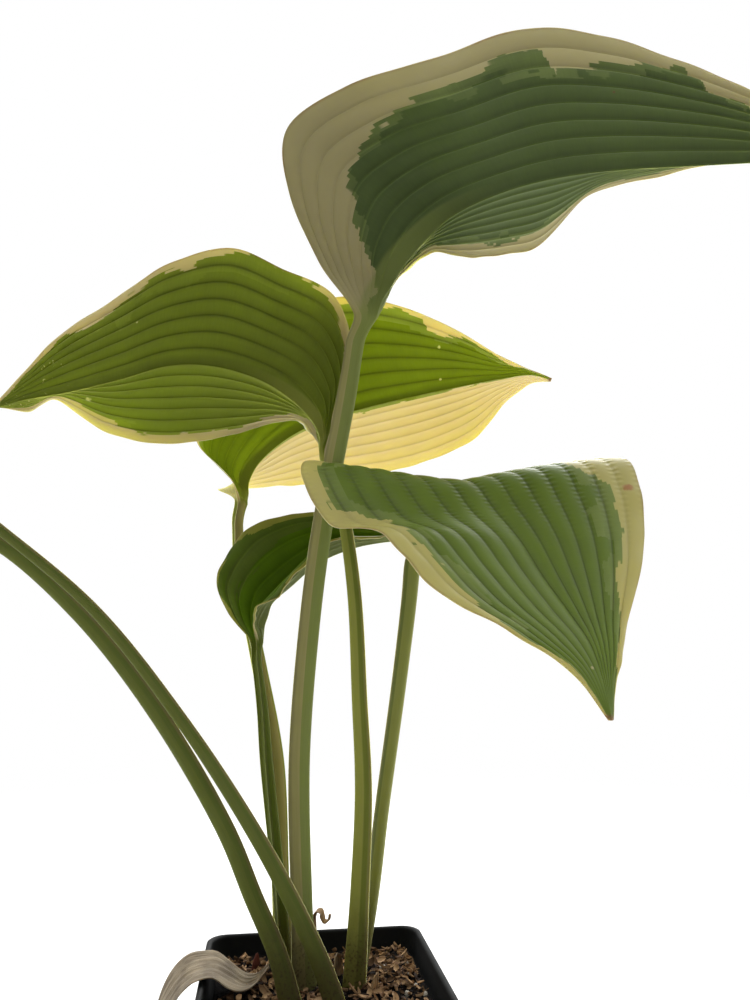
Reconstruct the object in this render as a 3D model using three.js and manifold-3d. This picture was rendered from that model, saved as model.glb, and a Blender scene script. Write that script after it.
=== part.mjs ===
// A potted hosta: a square nursery pot of potting mix with seven variegated leaves on long
// channelled stalks, which all rise from one crown just under the surface of the mix.
// Millimetres, +Z up. The origin is the centre of the pot's underside, and the pot's sides
// are square to X and Y.

import * as THREE from 'three';
import { mergeVertices } from 'three/addons/utils/BufferGeometryUtils.js';
import Module from 'manifold-3d';

// ---------------------------------------------------------------- driving dimensions

const CLEARANCE = 0.3; // gap left between touching pieces
const LOOSE_GAP = 0.4; // gap where the flat facets of a round face cut into it

const POT = {
  width: 110, // over the rolled lip
  height: 98,
  baseWidth: 78,
  shoulderWidth: 101, // body width just under the rim band
  wall: 1.4,
  floor: 2.2,
  bandHeight: 13,
  bandStep: 1.6, // how far the band stands out from the body
  lip: 3, // width of the rolled lip
  baseRound: 2, // bevel round the underside
  lipRound: 0.4, // how much the lip's edges are rounded off
  cornerRadius: 9,
  cornerTaper: 0.2, // loss of corner radius for each mm of half width below the lip's
  cornerSteps: 5,
  drainRadius: 5,
  drainSides: 12,
  drainInset: 13, // from the base's side to the drain's centre
};

const SOIL = {
  level: 89, // mean height of the surface
  mound: 2.2, // rise towards the crown
  moundRadius: 30,
  edgeDrop: 4, // how far below its level the surface meets the pot
  clods: { height: 0.77, x: 0.55, y: 0.5, skew: 0.21, warp: 2, warpY: 0.31 },
  crumbs: { height: 0.33, x: 1.3, y: 1.1, phaseX: 1.7, phaseY: 0.4 },
  rings: 8,
  sidePoints: 8, // points along each side of a ring
  chips: 50,
  chipLength: [4, 8],
  chipWidth: [1.6, 3.4],
  chipThickness: [0.9, 1.6],
  chipTaper: [0.5, 0.38], // half widths of a chip of unit size at its two faces
  chipTilt: 0.35, // most that a chip leans, in radians
  chipRise: 0.25, // height of a chip's middle over the surface
  chipMargin: 2, // kept clear along the pot
};

const CROWN = {
  centre: [4, 8],
  radius: 34,
  // Half section, as shares of the radius with heights, from the underside to the top.
  section: [[0, 62], [0.4, 63], [0.78, 71], [0.97, 76.6], [1, 81.1], [0.96, 83.6], [0, 83.6]],
  sides: 18,
};

const ROOTS = {
  count: 9,
  radii: [2.6, 1], // at the crown and at the tip
  heights: [71, 14],
  start: 14, // distance of a root's top from the middle
  spread: [9, 13.2], // how much further out its tip may stand
  bend: 2.2,
  sway: 2.5,
  swayTurn: 5,
  steps: 5,
  sides: 5,
};

// The scar of an old leaf, which shows above the mix.
const SCAR = {
  at: [-6, -17],
  radius: 3.4,
  heights: [77.6, 86.6, 90, 92],
  lean: 0.4,
  narrowing: 0.45,
  flatness: 0.7,
  sides: 7,
};

const FOOT = 84; // height at which every stalk leaves the crown

const BLADE = {
  thickness: 0.8,
  veinRelief: 0.5,
  fullRelief: 40, // half width from which bulge and veins have their full height
  fadeShare: 0.12, // share of the blade over which relief appears and dies away
  edgeWave: 0.9,
  edgeWaves: 5, // waves along each margin
  edgePhase: 1, // lead of the right margin's waves, in radians
  baseShare: 1 / 9, // share of the blade over which the stalk's section turns flat
  keel: 2.6, // depth of the midrib under the blade's base
  keelDecay: 2.6,
  keelHalfWidths: [4.5, 2.5], // at the blade's base and tip
  creaseShare: 0.4, // share of each half over which the rib's normal turns into the half's
  creaseWidths: [4, 14], // half widths between which each half gets a normal of its own
  step: 24, // mm between rows
  marginShare: 0.8, // how much of a margin's length counts towards a step
};

const STALK = {
  columns: [-1, -0.8, -0.4, 0, 0.4, 0.8, 1], // across the channel
  channel: 0.28, // rise of the wing edges as a share of the half width
  depths: [1.6, 1.15], // thickness at the foot and the top, as shares of the half width
  footShare: 0.1, // share of the stalk over which the foot narrows
  footNarrowing: 0.85,
  liftFade: 4, // knots before the blade over which the stalk sinks under the sheet
  step: 48, // mm between rings
};

const TANGENT_STEP = 0.05; // knots ahead and behind from which a direction is taken

// Each leaf is grown as one piece. `stalk` is the stalk's centre line from the crown up,
// `halfWidths` its half widths at the foot, the middle and under the blade, and `side`
// points to its right at the foot. `bulge` is the rise of each half between rib and margin.
// `blade` holds cross bars from the stalk to the tip, each with its left margin, midrib and
// right margin as seen from above the leaf.
const LEAVES = [
  {
    name: 'leaf_top',
    colour: 0x4f6b35,
    veins: 8,
    bulge: 3,
    side: [0, -1, 0],
    halfWidths: [5.9, 5, 5.2],
    stalk: [[-7, 4, FOOT], [-9, 6, 125], [-11, 7, 189], [-7, 2, 256], [-1, -2, 307],
      [10, -5, 372], [14.5, -6, 403]],
    blade: [
      [[21.5, -3, 420], [19.5, -7, 417], [11.5, -10, 416]],
      [[34, -4, 439], [30, -9, 432], [-8, -13, 443]],
      [[45, -3, 452], [39, -12, 447], [-25, -29, 473]],
      [[59, 5, 464], [50, -17, 460], [-27, -44, 496]],
      [[79, 22, 474], [64, -23, 472], [1, -55, 515]],
      [[108, 38, 485], [89, -35, 481], [37, -92, 503]],
      [[132, 30, 491], [114, -49, 482], [73, -108, 509]],
      [[152, 4, 507], [141, -65, 478], [105, -120, 498]],
      [[174, -25, 503], [167, -83, 470], [139, -124, 487]],
      [[192, -61, 488], [189, -100, 462], [170, -125, 473]],
      [[207, -90, 471], [205, -111, 457], [195, -122, 463]],
      [[217, -119, 452], [216, -120, 451], [215, -121, 452]],
    ],
  },
  {
    name: 'leaf_left',
    colour: 0x66801f,
    veins: 7,
    bulge: 3,
    side: [0, 1, 0],
    halfWidths: [5.3, 4.2, 4],
    stalk: [[14, 4, FOOT], [17, 6, 125], [19, 7, 175], [17, 7, 217], [14, 8, 272], [7, 9, 319]],
    blade: [
      [[2, 5, 339], [1, 9, 342], [2, 13, 341]],
      [[3, 9, 365], [-2, 9, 352], [-8, 23, 360]],
      [[12, 6, 404], [-9, 9, 364], [-16, 35, 370]],
      [[2, 0, 430], [-21, 9, 375], [-32, 41, 370]],
      [[-27, -16, 436], [-39, 8, 385], [-50, 42, 363]],
      [[-52, -26, 440], [-62, 7, 390], [-72, 35, 356]],
      [[-78, -32, 428], [-85, 5, 388], [-96, 29, 352]],
      [[-102, -34, 408], [-108, 3, 379], [-120, 30, 359]],
      [[-128, -26, 391], [-133, 1, 370], [-143, 21, 371]],
      [[-150, -12, 374], [-152, -1, 364], [-153, 8, 361]],
      [[-165, -4, 359], [-166, -3, 358], [-165, -2, 359]],
    ],
  },
  {
    name: 'leaf_front',
    colour: 0x567a3c,
    veins: 7,
    bulge: 1,
    side: [-1, -0.3, 0],
    halfWidths: [4, 3.4, 4.3],
    stalk: [[18.5, 18.5, FOOT], [26, 17, 125], [31, 16, 164], [40, 16, 224], [46, 16, 268],
      [48, 15, 289]],
    blade: [
      [[53, 17, 303], [50, 15, 302], [47, 14, 302]],
      [[80, 19, 312], [53, 11, 317], [38, 7, 313]],
      [[112, 10, 327], [58, 4, 324], [19, -5, 323]],
      [[137, -3, 341], [64, -7, 327], [-13, -16, 334]],
      [[152, -20, 341], [71, -21, 324], [-13, -24, 319]],
      [[151, -38, 319], [78, -35, 307], [-2, -36, 299]],
      [[145, -51, 297], [85, -48, 291], [16, -50, 295]],
      [[135, -63, 276], [91, -60, 273], [27, -62, 282]],
      [[123, -74, 256], [97, -72, 257], [41, -75, 265]],
      [[114, -83, 239], [101, -82, 244], [66, -86, 248]],
      [[108, -89, 228], [102, -89, 231], [88, -91, 234]],
      [[103, -95, 215], [102, -96, 215], [101, -95, 215]],
    ],
  },
  {
    name: 'leaf_back',
    colour: 0x769321,
    veins: 7,
    bulge: 3,
    side: [0.2, -1, 0],
    halfWidths: [5, 4.5, 3.8],
    stalk: [[-14.5, 31.5, FOOT], [-18, 37, 124], [-22, 45, 184], [-33, 54, 236], [-45, 64, 287],
      [-48, 69, 318]],
    blade: [
      [[-51, 73, 331], [-47.5, 69, 328], [-48.5, 65, 327.5]],
      [[-61, 81, 338], [-46, 67.5, 333], [-52, 60, 339]],
      [[-56, 96, 342], [-44, 67, 342], [-73, 57, 361]],
      [[-27, 106, 347], [-36.5, 64, 354], [-69, 56, 384]],
      [[-7, 110, 351], [-20, 60, 368], [-50, 43, 414]],
      [[22, 106, 356], [2, 56, 379], [-21, 30, 435]],
      [[52, 98, 360], [29, 52, 387], [10, 22, 442]],
      [[77, 86, 365], [56, 49, 394], [44, 19, 436]],
      [[101, 76, 378], [83, 45, 400], [75, 24, 427]],
      [[117, 64, 396], [107, 42, 405], [102, 31, 416]],
      [[131, 52, 407], [127, 40, 408], [126, 36, 409]],
      [[139, 40, 404], [139, 39, 405], [139, 38, 405]],
    ],
  },
  {
    name: 'leaf_small',
    colour: 0x43531c,
    veins: 4,
    bulge: 3,
    side: [0.2, -1, 0],
    halfWidths: [3.2, 3.4, 2.6],
    stalk: [[-15, 20, FOOT], [-19, 22, 124], [-27, 32, 186], [-30, 37, 213], [-34, 40, 237]],
    blade: [
      [[-38.5, 43, 247], [-34, 41, 246], [-35, 38, 247]],
      [[-51, 48, 262], [-33, 41, 254], [-37, 27, 258]],
      [[-58, 51, 279], [-31, 42, 260], [-34, 20, 264]],
      [[-54, 52, 293], [-28, 42, 268], [-26, 17, 269]],
      [[-43, 53, 309], [-17, 43, 278], [-17, 18, 279]],
      [[-20, 53, 319], [-2, 43, 291], [-3, 19, 295]],
      [[2, 53, 320], [16, 42, 299], [14, 23, 302]],
      [[26, 52, 314], [34, 42, 303], [32, 28, 303]],
      [[45, 46, 310], [49, 41, 304], [48, 35, 305]],
      [[60, 43, 305], [61, 42, 304], [60, 41, 305]],
    ],
  },
  {
    name: 'leaf_side_1',
    colour: 0x4f6b35,
    veins: 5,
    bulge: 3,
    side: [-0.5, 1, 0],
    halfWidths: [4.3, 2.6, 1.8],
    stalk: [[6, -14, FOOT], [-2, -13, 105], [-17, -15, 135], [-36, -22, 168], [-65, -35, 212],
      [-100, -52, 257], [-135, -69, 288], [-172, -86, 317]],
    blade: [
      [[-178, -93, 322], [-180, -89, 321], [-182, -85, 322]],
      [[-173, -115, 334], [-190, -94, 327], [-179, -68, 334]],
      [[-184, -142, 345], [-203, -99, 332], [-184, -46, 345]],
      [[-206, -162, 346], [-220, -106, 335], [-204, -38, 346]],
      [[-236, -172, 342], [-245, -116, 334], [-232, -42, 344]],
      [[-268, -174, 332], [-272, -127, 326], [-264, -60, 336]],
      [[-302, -172, 313], [-300, -132, 310], [-294, -94, 317]],
      [[-329, -165, 289], [-326, -144, 287], [-321, -125, 291]],
      [[-345, -155, 264], [-344, -154, 263], [-344, -153, 264]],
    ],
  },
  {
    name: 'leaf_side_2',
    colour: 0x567a3c,
    veins: 5,
    bulge: 3,
    side: [-0.5, 1, 0],
    halfWidths: [4.5, 4.2, 3.3],
    stalk: [[-14, -10, FOOT], [-21, -8, 108], [-33, -6, 133], [-46, -9, 162], [-78, -20, 215],
      [-111, -33, 257], [-144, -45, 286], [-172, -48, 296]],
    blade: [
      [[-180, -51, 300], [-180, -46, 299], [-181, -42, 300]],
      [[-180, -69, 309], [-190, -44, 303], [-182, -15, 309]],
      [[-190, -86, 314], [-203, -40, 306], [-190, 12, 312]],
      [[-210, -94, 316], [-222, -35, 308], [-210, 32, 314]],
      [[-238, -90, 312], [-245, -28, 305], [-238, 38, 310]],
      [[-266, -76, 300], [-268, -21, 296], [-264, 32, 298]],
      [[-292, -54, 280], [-290, -14, 279], [-290, 20, 280]],
      [[-312, -28, 257], [-311, -8, 255], [-311, 10, 257]],
      [[-324, -4, 230], [-325, -3, 229], [-324, -2, 230]],
    ],
  },
];

const SCRAP_COLUMNS = [-1, -0.5, 0, 0.5, 1];

// Small dead pieces at the plant's foot, as cross bars like a leaf's blade.
const SCRAPS = [
  {
    name: 'withered_leaf',
    colour: 0x968773,
    thickness: 0.8,
    bars: [
      [[-24, 11, 99], [-24, 10, 98], [-24, 8, 98]],
      [[-29, 11, 95], [-29, 7, 94], [-29, 2, 94.5]],
      [[-35, 13, 95], [-35, 4, 93.4], [-35, -5, 94]],
      [[-42, 19, 98], [-42, 8, 95.8], [-42, -6, 95.6]],
      [[-48, 25, 100], [-49, 10, 98.4], [-49, -5, 99.6]],
      [[-54, 26, 100.4], [-56, 8, 98.5], [-56, -9, 100]],
      [[-62, 27, 99.5], [-62, 9, 95], [-61, -8, 96.5]],
      [[-70, 27, 92], [-68, 10, 87], [-66, -4, 89]],
      [[-75, 24, 80], [-73, 11, 77], [-70, 0, 78]],
      [[-77, 14, 63], [-76, 12, 62], [-75, 10, 63]],
    ],
  },
  {
    name: 'sheath_left',
    colour: 0xa08663,
    thickness: 0.8,
    bars: [
      [[12, 15, FOOT], [8, 13, FOOT], [6, 9, FOOT]],
      [[11, 15, 90], [8, 13, 90], [6, 8, 90]],
      [[11, 15, 95], [8, 13, 96], [6, 9, 95]],
      [[10, 14, 100], [8, 13, 101], [7, 11, 100]],
    ],
  },
  {
    name: 'sheath_right',
    colour: 0xa08663,
    thickness: 0.8,
    bars: [
      [[20, -7, FOOT], [22.5, -3, FOOT], [23, 1, FOOT]],
      [[20, -8, 89], [24, -4, 89], [24, 1, 89]],
      [[21, -8, 93], [25, -4, 94], [25, 0, 93]],
      [[23, -6, 97], [25, -4, 98], [25, -2, 97]],
    ],
  },
];

// The dried flower stem: a thin stem that ends in a curled bract.
const BRACT = {
  colour: 0x8c6e46,
  sides: 6,
  path: [
    [-1.5, 20, FOOT], [-1.5, 20, 96], [-1.8, 20, 106], [-2.4, 20, 111], [-2.7, 20, 114.6],
    [-1.5, 20, 117.1], [0.5, 20.2, 116.9], [1.4, 20.4, 114.7], [2.6, 20.6, 112.7],
    [4.4, 20.8, 113], [5, 21, 115.4],
  ],
  halfWidths: [0.6, 0.8], // of the stem
  widening: 2.6, // what the bract adds to the second of them
  widens: [0.3, 1.05], // shares of the whole length between which it is wider
};

const BUD = {
  colour: 0x4a2a22,
  at: [-31, 28],
  heights: [FOOT, 97.5],
  radius: 2.1,
  blunt: 0.04, // what is left of the section's area at the tip
  flatness: 0.85,
  lean: 1.5,
  steps: 6,
  sides: 8,
};

// ---------------------------------------------------------------- solids and helpers

const wasm = await Module();
wasm.setup();

/** A repeatable stream of numbers from 0 to 1. */
function seededRandom(seed) {
  let state = seed;
  return () => {
    state = (state * 16807) % 2147483647;
    return (state - 1) / 2147483646;
  };
}

/** Gathers rings of points and the triangles between them into one closed body. */
class Skin {
  constructor() {
    this.points = [];
    this.triangles = [];
  }

  add(point) {
    this.points.push(point);
    return this.points.length - 1;
  }

  addAll(points) {
    return points.map((point) => this.add(point));
  }

  quad(a, b, c, d) {
    this.triangles.push([a, b, c], [a, c, d]);
  }

  /** Joins two rings of equal length, the second one further along the outward winding. */
  band(lower, upper) {
    lower.forEach((_, i) => {
      const next = (i + 1) % lower.length;
      this.quad(lower[i], lower[next], upper[next], upper[i]);
    });
  }

  /** Closes a ring with a fan from its middle. */
  fan(ring, flip) {
    const middle = new THREE.Vector3();
    ring.forEach((index) => middle.add(this.points[index]));
    const centre = this.add(middle.divideScalar(ring.length));
    ring.forEach((index, i) => {
      const next = ring[(i + 1) % ring.length];
      this.triangles.push(flip ? [centre, next, index] : [centre, index, next]);
    });
  }

  /** Joins two open rows whose points stand at the given places across the strip. */
  zip(rowA, placesA, rowB, placesB, flip) {
    let i = 0;
    let j = 0;
    while (i < rowA.length - 1 || j < rowB.length - 1) {
      const nextA = i < rowA.length - 1 ? placesA[i + 1] : Infinity;
      const nextB = j < rowB.length - 1 ? placesB[j + 1] : Infinity;
      const triangle = nextA <= nextB
        ? [rowA[i], rowA[i + 1], rowB[j]]
        : [rowA[i], rowB[j + 1], rowB[j]];
      this.triangles.push(flip ? triangle.reverse() : triangle);
      if (nextA <= nextB) i += 1;
      else j += 1;
    }
  }

  toGeometry() {
    const geometry = new THREE.BufferGeometry();
    const flat = this.points.flatMap((point) => [point.x, point.y, point.z]);
    geometry.setAttribute('position', new THREE.Float32BufferAttribute(flat, 3));
    geometry.setIndex(this.triangles.flat());
    return geometry;
  }
}

function toManifold(geometry) {
  const bare = new THREE.BufferGeometry();
  bare.setAttribute('position', geometry.getAttribute('position'));
  bare.setIndex(geometry.getIndex());
  const merged = mergeVertices(bare);
  const mesh = new wasm.Mesh({
    numProp: 3,
    vertProperties: new Float32Array(merged.getAttribute('position').array),
    triVerts: new Uint32Array(merged.getIndex().array),
  });
  return new wasm.Manifold(mesh);
}

function toGeometry(solid) {
  const mesh = solid.getMesh();
  const geometry = new THREE.BufferGeometry();
  geometry.setAttribute('position', new THREE.BufferAttribute(mesh.vertProperties, 3));
  geometry.setIndex(new THREE.BufferAttribute(mesh.triVerts, 1));
  return geometry;
}

/** The largest body of a cut solid, without any loose scraps. */
function largestBody(solid) {
  return solid.decompose().reduce((best, body) => (body.volume() > best.volume() ? body : best));
}

function makeMesh(name, geometry, colour, roughness) {
  const material = new THREE.MeshStandardMaterial({ color: colour, roughness, metalness: 0 });
  const mesh = new THREE.Mesh(geometry, material);
  mesh.name = name;
  return mesh;
}

const vector = (point) => new THREE.Vector3(...point);
const clamp = (value) => Math.min(1, Math.max(0, value));
const between = ([low, high], share) => low + (high - low) * share;

// ---------------------------------------------------------------- curves with shared knots

/** Knots for several curves that keep step, spaced by the root of their longest chord. */
function sharedKnots(curves) {
  const knots = [0];
  for (let i = 1; i < curves[0].length; i += 1) {
    const chord = Math.max(...curves.map((curve) => curve[i].distanceTo(curve[i - 1])));
    knots.push(knots[i - 1] + Math.sqrt(chord));
  }
  return knots;
}

/** Slopes of a smooth curve through the points, as of a parabola through each three. */
function slopes(points, knots) {
  const chords = points.slice(1).map((point, i) => (
    point.clone().sub(points[i]).divideScalar(knots[i + 1] - knots[i])));
  return points.map((_, i) => {
    if (i === 0) return chords[0];
    if (i === points.length - 1) return chords[i - 1];
    const before = knots[i] - knots[i - 1];
    const after = knots[i + 1] - knots[i];
    const blend = chords[i].clone().multiplyScalar(before);
    return blend.addScaledVector(chords[i - 1], after).divideScalar(before + after);
  });
}

/** The point of the smooth curve at the given knot value. */
function pointAt(points, knots, tangents, value) {
  let i = 0;
  while (i < points.length - 2 && value > knots[i + 1]) i += 1;
  const span = knots[i + 1] - knots[i];
  const f = (value - knots[i]) / span;
  const result = points[i].clone().multiplyScalar(2 * f ** 3 - 3 * f ** 2 + 1);
  result.addScaledVector(tangents[i], span * (f ** 3 - 2 * f ** 2 + f));
  result.addScaledVector(points[i + 1], 3 * f ** 2 - 2 * f ** 3);
  return result.addScaledVector(tangents[i + 1], span * (f ** 3 - f ** 2));
}

/** Values linearly between a short list of [place, value] pairs. */
function ramp(pairs, place) {
  const next = pairs.findIndex(([at]) => at >= place);
  if (next <= 0) return pairs[next === 0 ? 0 : pairs.length - 1][1];
  const [fromPlace, from] = pairs[next - 1];
  const [toPlace, to] = pairs[next];
  return from + ((to - from) * (place - fromPlace)) / (toPlace - fromPlace);
}

// ---------------------------------------------------------------- leaves

/** The three guiding curves of a leaf, from the foot of its stalk to its tip. */
function leafCurves(leaf) {
  const stalk = leaf.stalk.map(vector);
  const bars = leaf.blade.map((bar) => bar.map(vector));
  const lengths = [0];
  for (let i = 1; i < stalk.length; i += 1) {
    lengths.push(lengths[i - 1] + stalk[i].distanceTo(stalk[i - 1]));
  }
  const [foot, middle, top] = leaf.halfWidths;
  const narrowed = [STALK.footShare, foot * STALK.footNarrowing];
  const narrowing = [[0, foot], narrowed, [0.5, middle], [1, top]];
  const sideAtTop = bars[0][2].clone().sub(bars[0][0]).normalize();
  const halves = [];
  const sides = stalk.map((_, i) => {
    const share = lengths[i] / lengths[lengths.length - 1];
    halves.push(ramp(narrowing, share));
    return vector(leaf.side).normalize().lerp(sideAtTop, share).normalize();
  });
  const edge = (sign) => stalk.map((point, i) => (
    point.clone().addScaledVector(sides[i], sign * halves[i])));
  return {
    left: edge(-1).concat(bars.map((bar) => bar[0])),
    rib: stalk.concat(bars.map((bar) => bar[1])),
    right: edge(1).concat(bars.map((bar) => bar[2])),
    halves,
    stalkCount: stalk.length,
  };
}

/** Places along the knots at which a leaf gets a row of points. */
function rowPlaces(curves, knots) {
  const places = [];
  for (let i = 0; i < knots.length - 1; i += 1) {
    const onStalk = i < curves.stalkCount - 1;
    const [left, rib, right] = ['left', 'rib', 'right'].map((key) => (
      curves[key][i].distanceTo(curves[key][i + 1])));
    const chord = onStalk ? rib : Math.max(rib, Math.max(left, right) * BLADE.marginShare);
    const count = Math.max(1, Math.round(chord / (onStalk ? STALK.step : BLADE.step)));
    for (let k = 0; k < count; k += 1) {
      places.push(between([knots[i], knots[i + 1]], k / count));
    }
  }
  places.push(knots[knots.length - 1]);
  return places;
}

/** Columns across a blade: each vein and the crest between it and the next. */
function bladeColumns(veins) {
  const columns = [];
  for (let i = -2 * veins; i <= 2 * veins; i += 1) columns.push(i / (2 * veins));
  return columns;
}

/** Thickness of the leaf under its upper face, from stalk to keel and blade. */
function underside(row, column) {
  const onBlade = clamp(row.bladeShare / BLADE.baseShare);
  const round = row.stalkDepth * Math.sqrt(Math.max(0, 1 - column ** 2));
  const keelHalf = between(BLADE.keelHalfWidths, row.bladeShare);
  const keelSection = Math.max(0, 1 - (Math.abs(column) * row.halfWidth) / keelHalf);
  const keel = BLADE.keel * Math.exp(-BLADE.keelDecay * row.bladeShare) * keelSection;
  return BLADE.thickness + round * (1 - onBlade) + keel * onBlade;
}

/** Height of the upper face over the smooth sheet: bulge, sunk veins and waved margin. */
function upperRelief(leaf, row, column) {
  if (row.bladeShare <= 0) return 0;
  const across = Math.abs(column);
  const toEnd = Math.min(row.bladeShare, 1 - row.bladeShare);
  const size = Math.min(1, row.halfWidth / BLADE.fullRelief);
  const bulge = leaf.bulge * size * 4 * across * (1 - across);
  const veins = -BLADE.veinRelief * size * Math.cos(2 * Math.PI * leaf.veins * across);
  const phase = 2 * Math.PI * BLADE.edgeWaves * row.bladeShare;
  const wave = Math.sin(phase + (column > 0 ? BLADE.edgePhase : 0));
  return clamp(toEnd / BLADE.fadeShare) * (bulge + veins + BLADE.edgeWave * across ** 4 * wave);
}

/** The rows of a leaf: its smooth sheet with normals, ready for the two faces. */
function leafRows(leaf) {
  const curves = leafCurves(leaf);
  const knots = sharedKnots([curves.left, curves.rib, curves.right]);
  const tangents = ['left', 'rib', 'right'].map((key) => slopes(curves[key], knots));
  const sample = (key, index, place) => pointAt(curves[key], knots, tangents[index], place);
  const bladeStart = knots[curves.stalkCount];
  const stalkEnd = knots[curves.stalkCount - 1];
  const end = knots[knots.length - 1];
  const halfPairs = curves.halves.map((half, i) => [knots[i], half]);
  return rowPlaces(curves, knots).map((place) => {
    const left = sample('left', 0, place);
    const rib = sample('rib', 1, place);
    const right = sample('right', 2, place);
    const ahead = sample('rib', 1, Math.min(end, place + TANGENT_STEP));
    const behind = sample('rib', 1, Math.max(0, place - TANGENT_STEP));
    const along = ahead.sub(behind).normalize();
    const across = right.clone().sub(left).normalize();
    const isStalk = place <= stalkEnd + 1e-6;
    const half = ramp(halfPairs, place);
    const stalkDepth = half * between(STALK.depths, clamp(place / stalkEnd));
    return {
      left,
      rib,
      right,
      along,
      normal: across.clone().cross(along).normalize(),
      columns: isStalk ? STALK.columns : bladeColumns(leaf.veins),
      bladeShare: (place - bladeStart) / (end - bladeStart),
      halfWidth: (left.distanceTo(rib) + right.distanceTo(rib)) / 2,
      stalkDepth,
      lift: (stalkDepth / 2) * clamp((bladeStart - place) / STALK.liftFade),
      rise: isStalk ? half * STALK.channel : 0,
    };
  });
}

/** One point of a leaf's smooth sheet. */
function sheetPoint(row, column) {
  const margin = column < 0 ? row.left : row.right;
  const point = row.rib.clone().lerp(margin, Math.abs(column));
  return point.addScaledVector(row.normal, row.lift + row.rise * column ** 2);
}

/** The sheet's normal at a column: the row's at the rib, each half's own further out. */
function sheetNormal(row, column) {
  const across = column < 0 ? row.rib.clone().sub(row.left) : row.right.clone().sub(row.rib);
  const half = across.cross(row.along).normalize();
  const [narrow, broad] = BLADE.creaseWidths;
  const breadth = clamp((row.halfWidth - narrow) / (broad - narrow));
  const weight = clamp(Math.abs(column) / BLADE.creaseShare) * breadth;
  return row.normal.clone().lerp(half, weight).normalize();
}

/** A leaf, stalk and blade, as one closed body. */
function leafGeometry(leaf, rows = leafRows(leaf), grow = 0) {
  const skin = new Skin();
  const level = FOOT - 2 * grow;
  const faces = rows.map((row, index) => {
    const upper = [];
    const lower = [];
    row.columns.forEach((column) => {
      const normal = sheetNormal(row, column);
      const top = sheetPoint(row, column);
      top.addScaledVector(normal, upperRelief(leaf, row, column));
      const bottom = top.clone().addScaledVector(normal, -underside(row, column) - grow);
      const outward = row.right.clone().sub(row.left).normalize().multiplyScalar(grow * column);
      top.addScaledVector(normal, grow).add(outward);
      bottom.add(outward);
      if (index === 0) {
        top.addScaledVector(row.along, (level - top.z) / row.along.z);
        bottom.addScaledVector(row.along, (level - bottom.z) / row.along.z);
      }
      upper.push(skin.add(top));
      lower.push(skin.add(bottom));
    });
    return { upper, lower, columns: row.columns };
  });
  for (let i = 0; i < faces.length - 1; i += 1) {
    const here = faces[i];
    const next = faces[i + 1];
    const last = here.upper.length - 1;
    const nextLast = next.upper.length - 1;
    skin.zip(here.upper, here.columns, next.upper, next.columns, false);
    skin.zip(here.lower, here.columns, next.lower, next.columns, true);
    skin.quad(here.lower[0], here.upper[0], next.upper[0], next.lower[0]);
    skin.quad(here.upper[last], here.lower[last], next.lower[nextLast], next.upper[nextLast]);
  }
  const foot = faces[0];
  const tip = faces[faces.length - 1];
  skin.zip(foot.lower, foot.columns, foot.upper, foot.columns, false);
  skin.zip(tip.lower, tip.columns, tip.upper, tip.columns, true);
  return skin.toGeometry();
}

/** The foot of a stalk, a little larger, as the hole it stands in. */
function footSolid(leaf) {
  return toManifold(leafGeometry(leaf, leafRows(leaf).slice(0, 2), LOOSE_GAP));
}

// ---------------------------------------------------------------- dead scraps and bud

/** A thin dry scrap swept through its cross bars. */
function scrapGeometry(scrap, grow = 0) {
  const columns = SCRAP_COLUMNS.map((column) => (
    column * (Math.abs(column) === 1 ? 1 + grow / 4 : 1)));
  const curves = [0, 1, 2].map((side) => scrap.bars.map((bar) => vector(bar[side])));
  const knots = sharedKnots(curves);
  const tangents = curves.map((curve) => slopes(curve, knots));
  const sample = (side, place) => pointAt(curves[side], knots, tangents[side], place);
  const end = knots[knots.length - 1];
  const count = 2 * (scrap.bars.length - 1);
  const half = scrap.thickness / 2 + grow;
  const skin = new Skin();
  const faces = [];
  for (let i = 0; i <= count; i += 1) {
    const place = (end * i) / count;
    const [left, rib, right] = [0, 1, 2].map((side) => sample(side, place));
    const ahead = sample(1, Math.min(end, place + TANGENT_STEP));
    const behind = sample(1, Math.max(0, place - TANGENT_STEP));
    const normal = right.clone().sub(left).cross(ahead.sub(behind)).normalize();
    const points = columns.map((column) => rib.clone().lerp(column < 0 ? left : right,
      Math.abs(column)));
    if (i === 0) points.forEach((point) => point.setZ(point.z - 2 * grow));
    faces.push({
      upper: skin.addAll(points.map((point) => point.clone().addScaledVector(normal, half))),
      lower: skin.addAll(points.map((point) => point.clone().addScaledVector(normal, -half))),
    });
  }
  const last = columns.length - 1;
  for (let i = 0; i < count; i += 1) {
    const here = faces[i];
    const next = faces[i + 1];
    skin.zip(here.upper, columns, next.upper, columns, false);
    skin.zip(here.lower, columns, next.lower, columns, true);
    skin.quad(here.lower[0], here.upper[0], next.upper[0], next.lower[0]);
    skin.quad(here.upper[last], here.lower[last], next.lower[last], next.upper[last]);
  }
  skin.zip(faces[0].lower, columns, faces[0].upper, columns, false);
  skin.zip(faces[count].lower, columns, faces[count].upper, columns, true);
  return skin.toGeometry();
}

/** A tube of changing section through the points: `size` gives its two half widths. */
function tubeGeometry(points, sides, size, reference) {
  const skin = new Skin();
  const rings = points.map((point, i) => {
    const before = points[Math.max(0, i - 1)];
    const after = points[Math.min(points.length - 1, i + 1)];
    const along = after.clone().sub(before).normalize();
    const first = reference.clone().cross(along).normalize();
    const second = along.clone().cross(first);
    const [a, b] = size(i / (points.length - 1));
    const ring = [];
    for (let k = 0; k < sides; k += 1) {
      const angle = (2 * Math.PI * k) / sides;
      const corner = point.clone().addScaledVector(first, a * Math.cos(angle));
      ring.push(corner.addScaledVector(second, b * Math.sin(angle)));
    }
    return skin.addAll(ring);
  });
  for (let i = 0; i < rings.length - 1; i += 1) skin.band(rings[i], rings[i + 1]);
  skin.fan(rings[0], true);
  skin.fan(rings[rings.length - 1], false);
  return skin.toGeometry();
}

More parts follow.
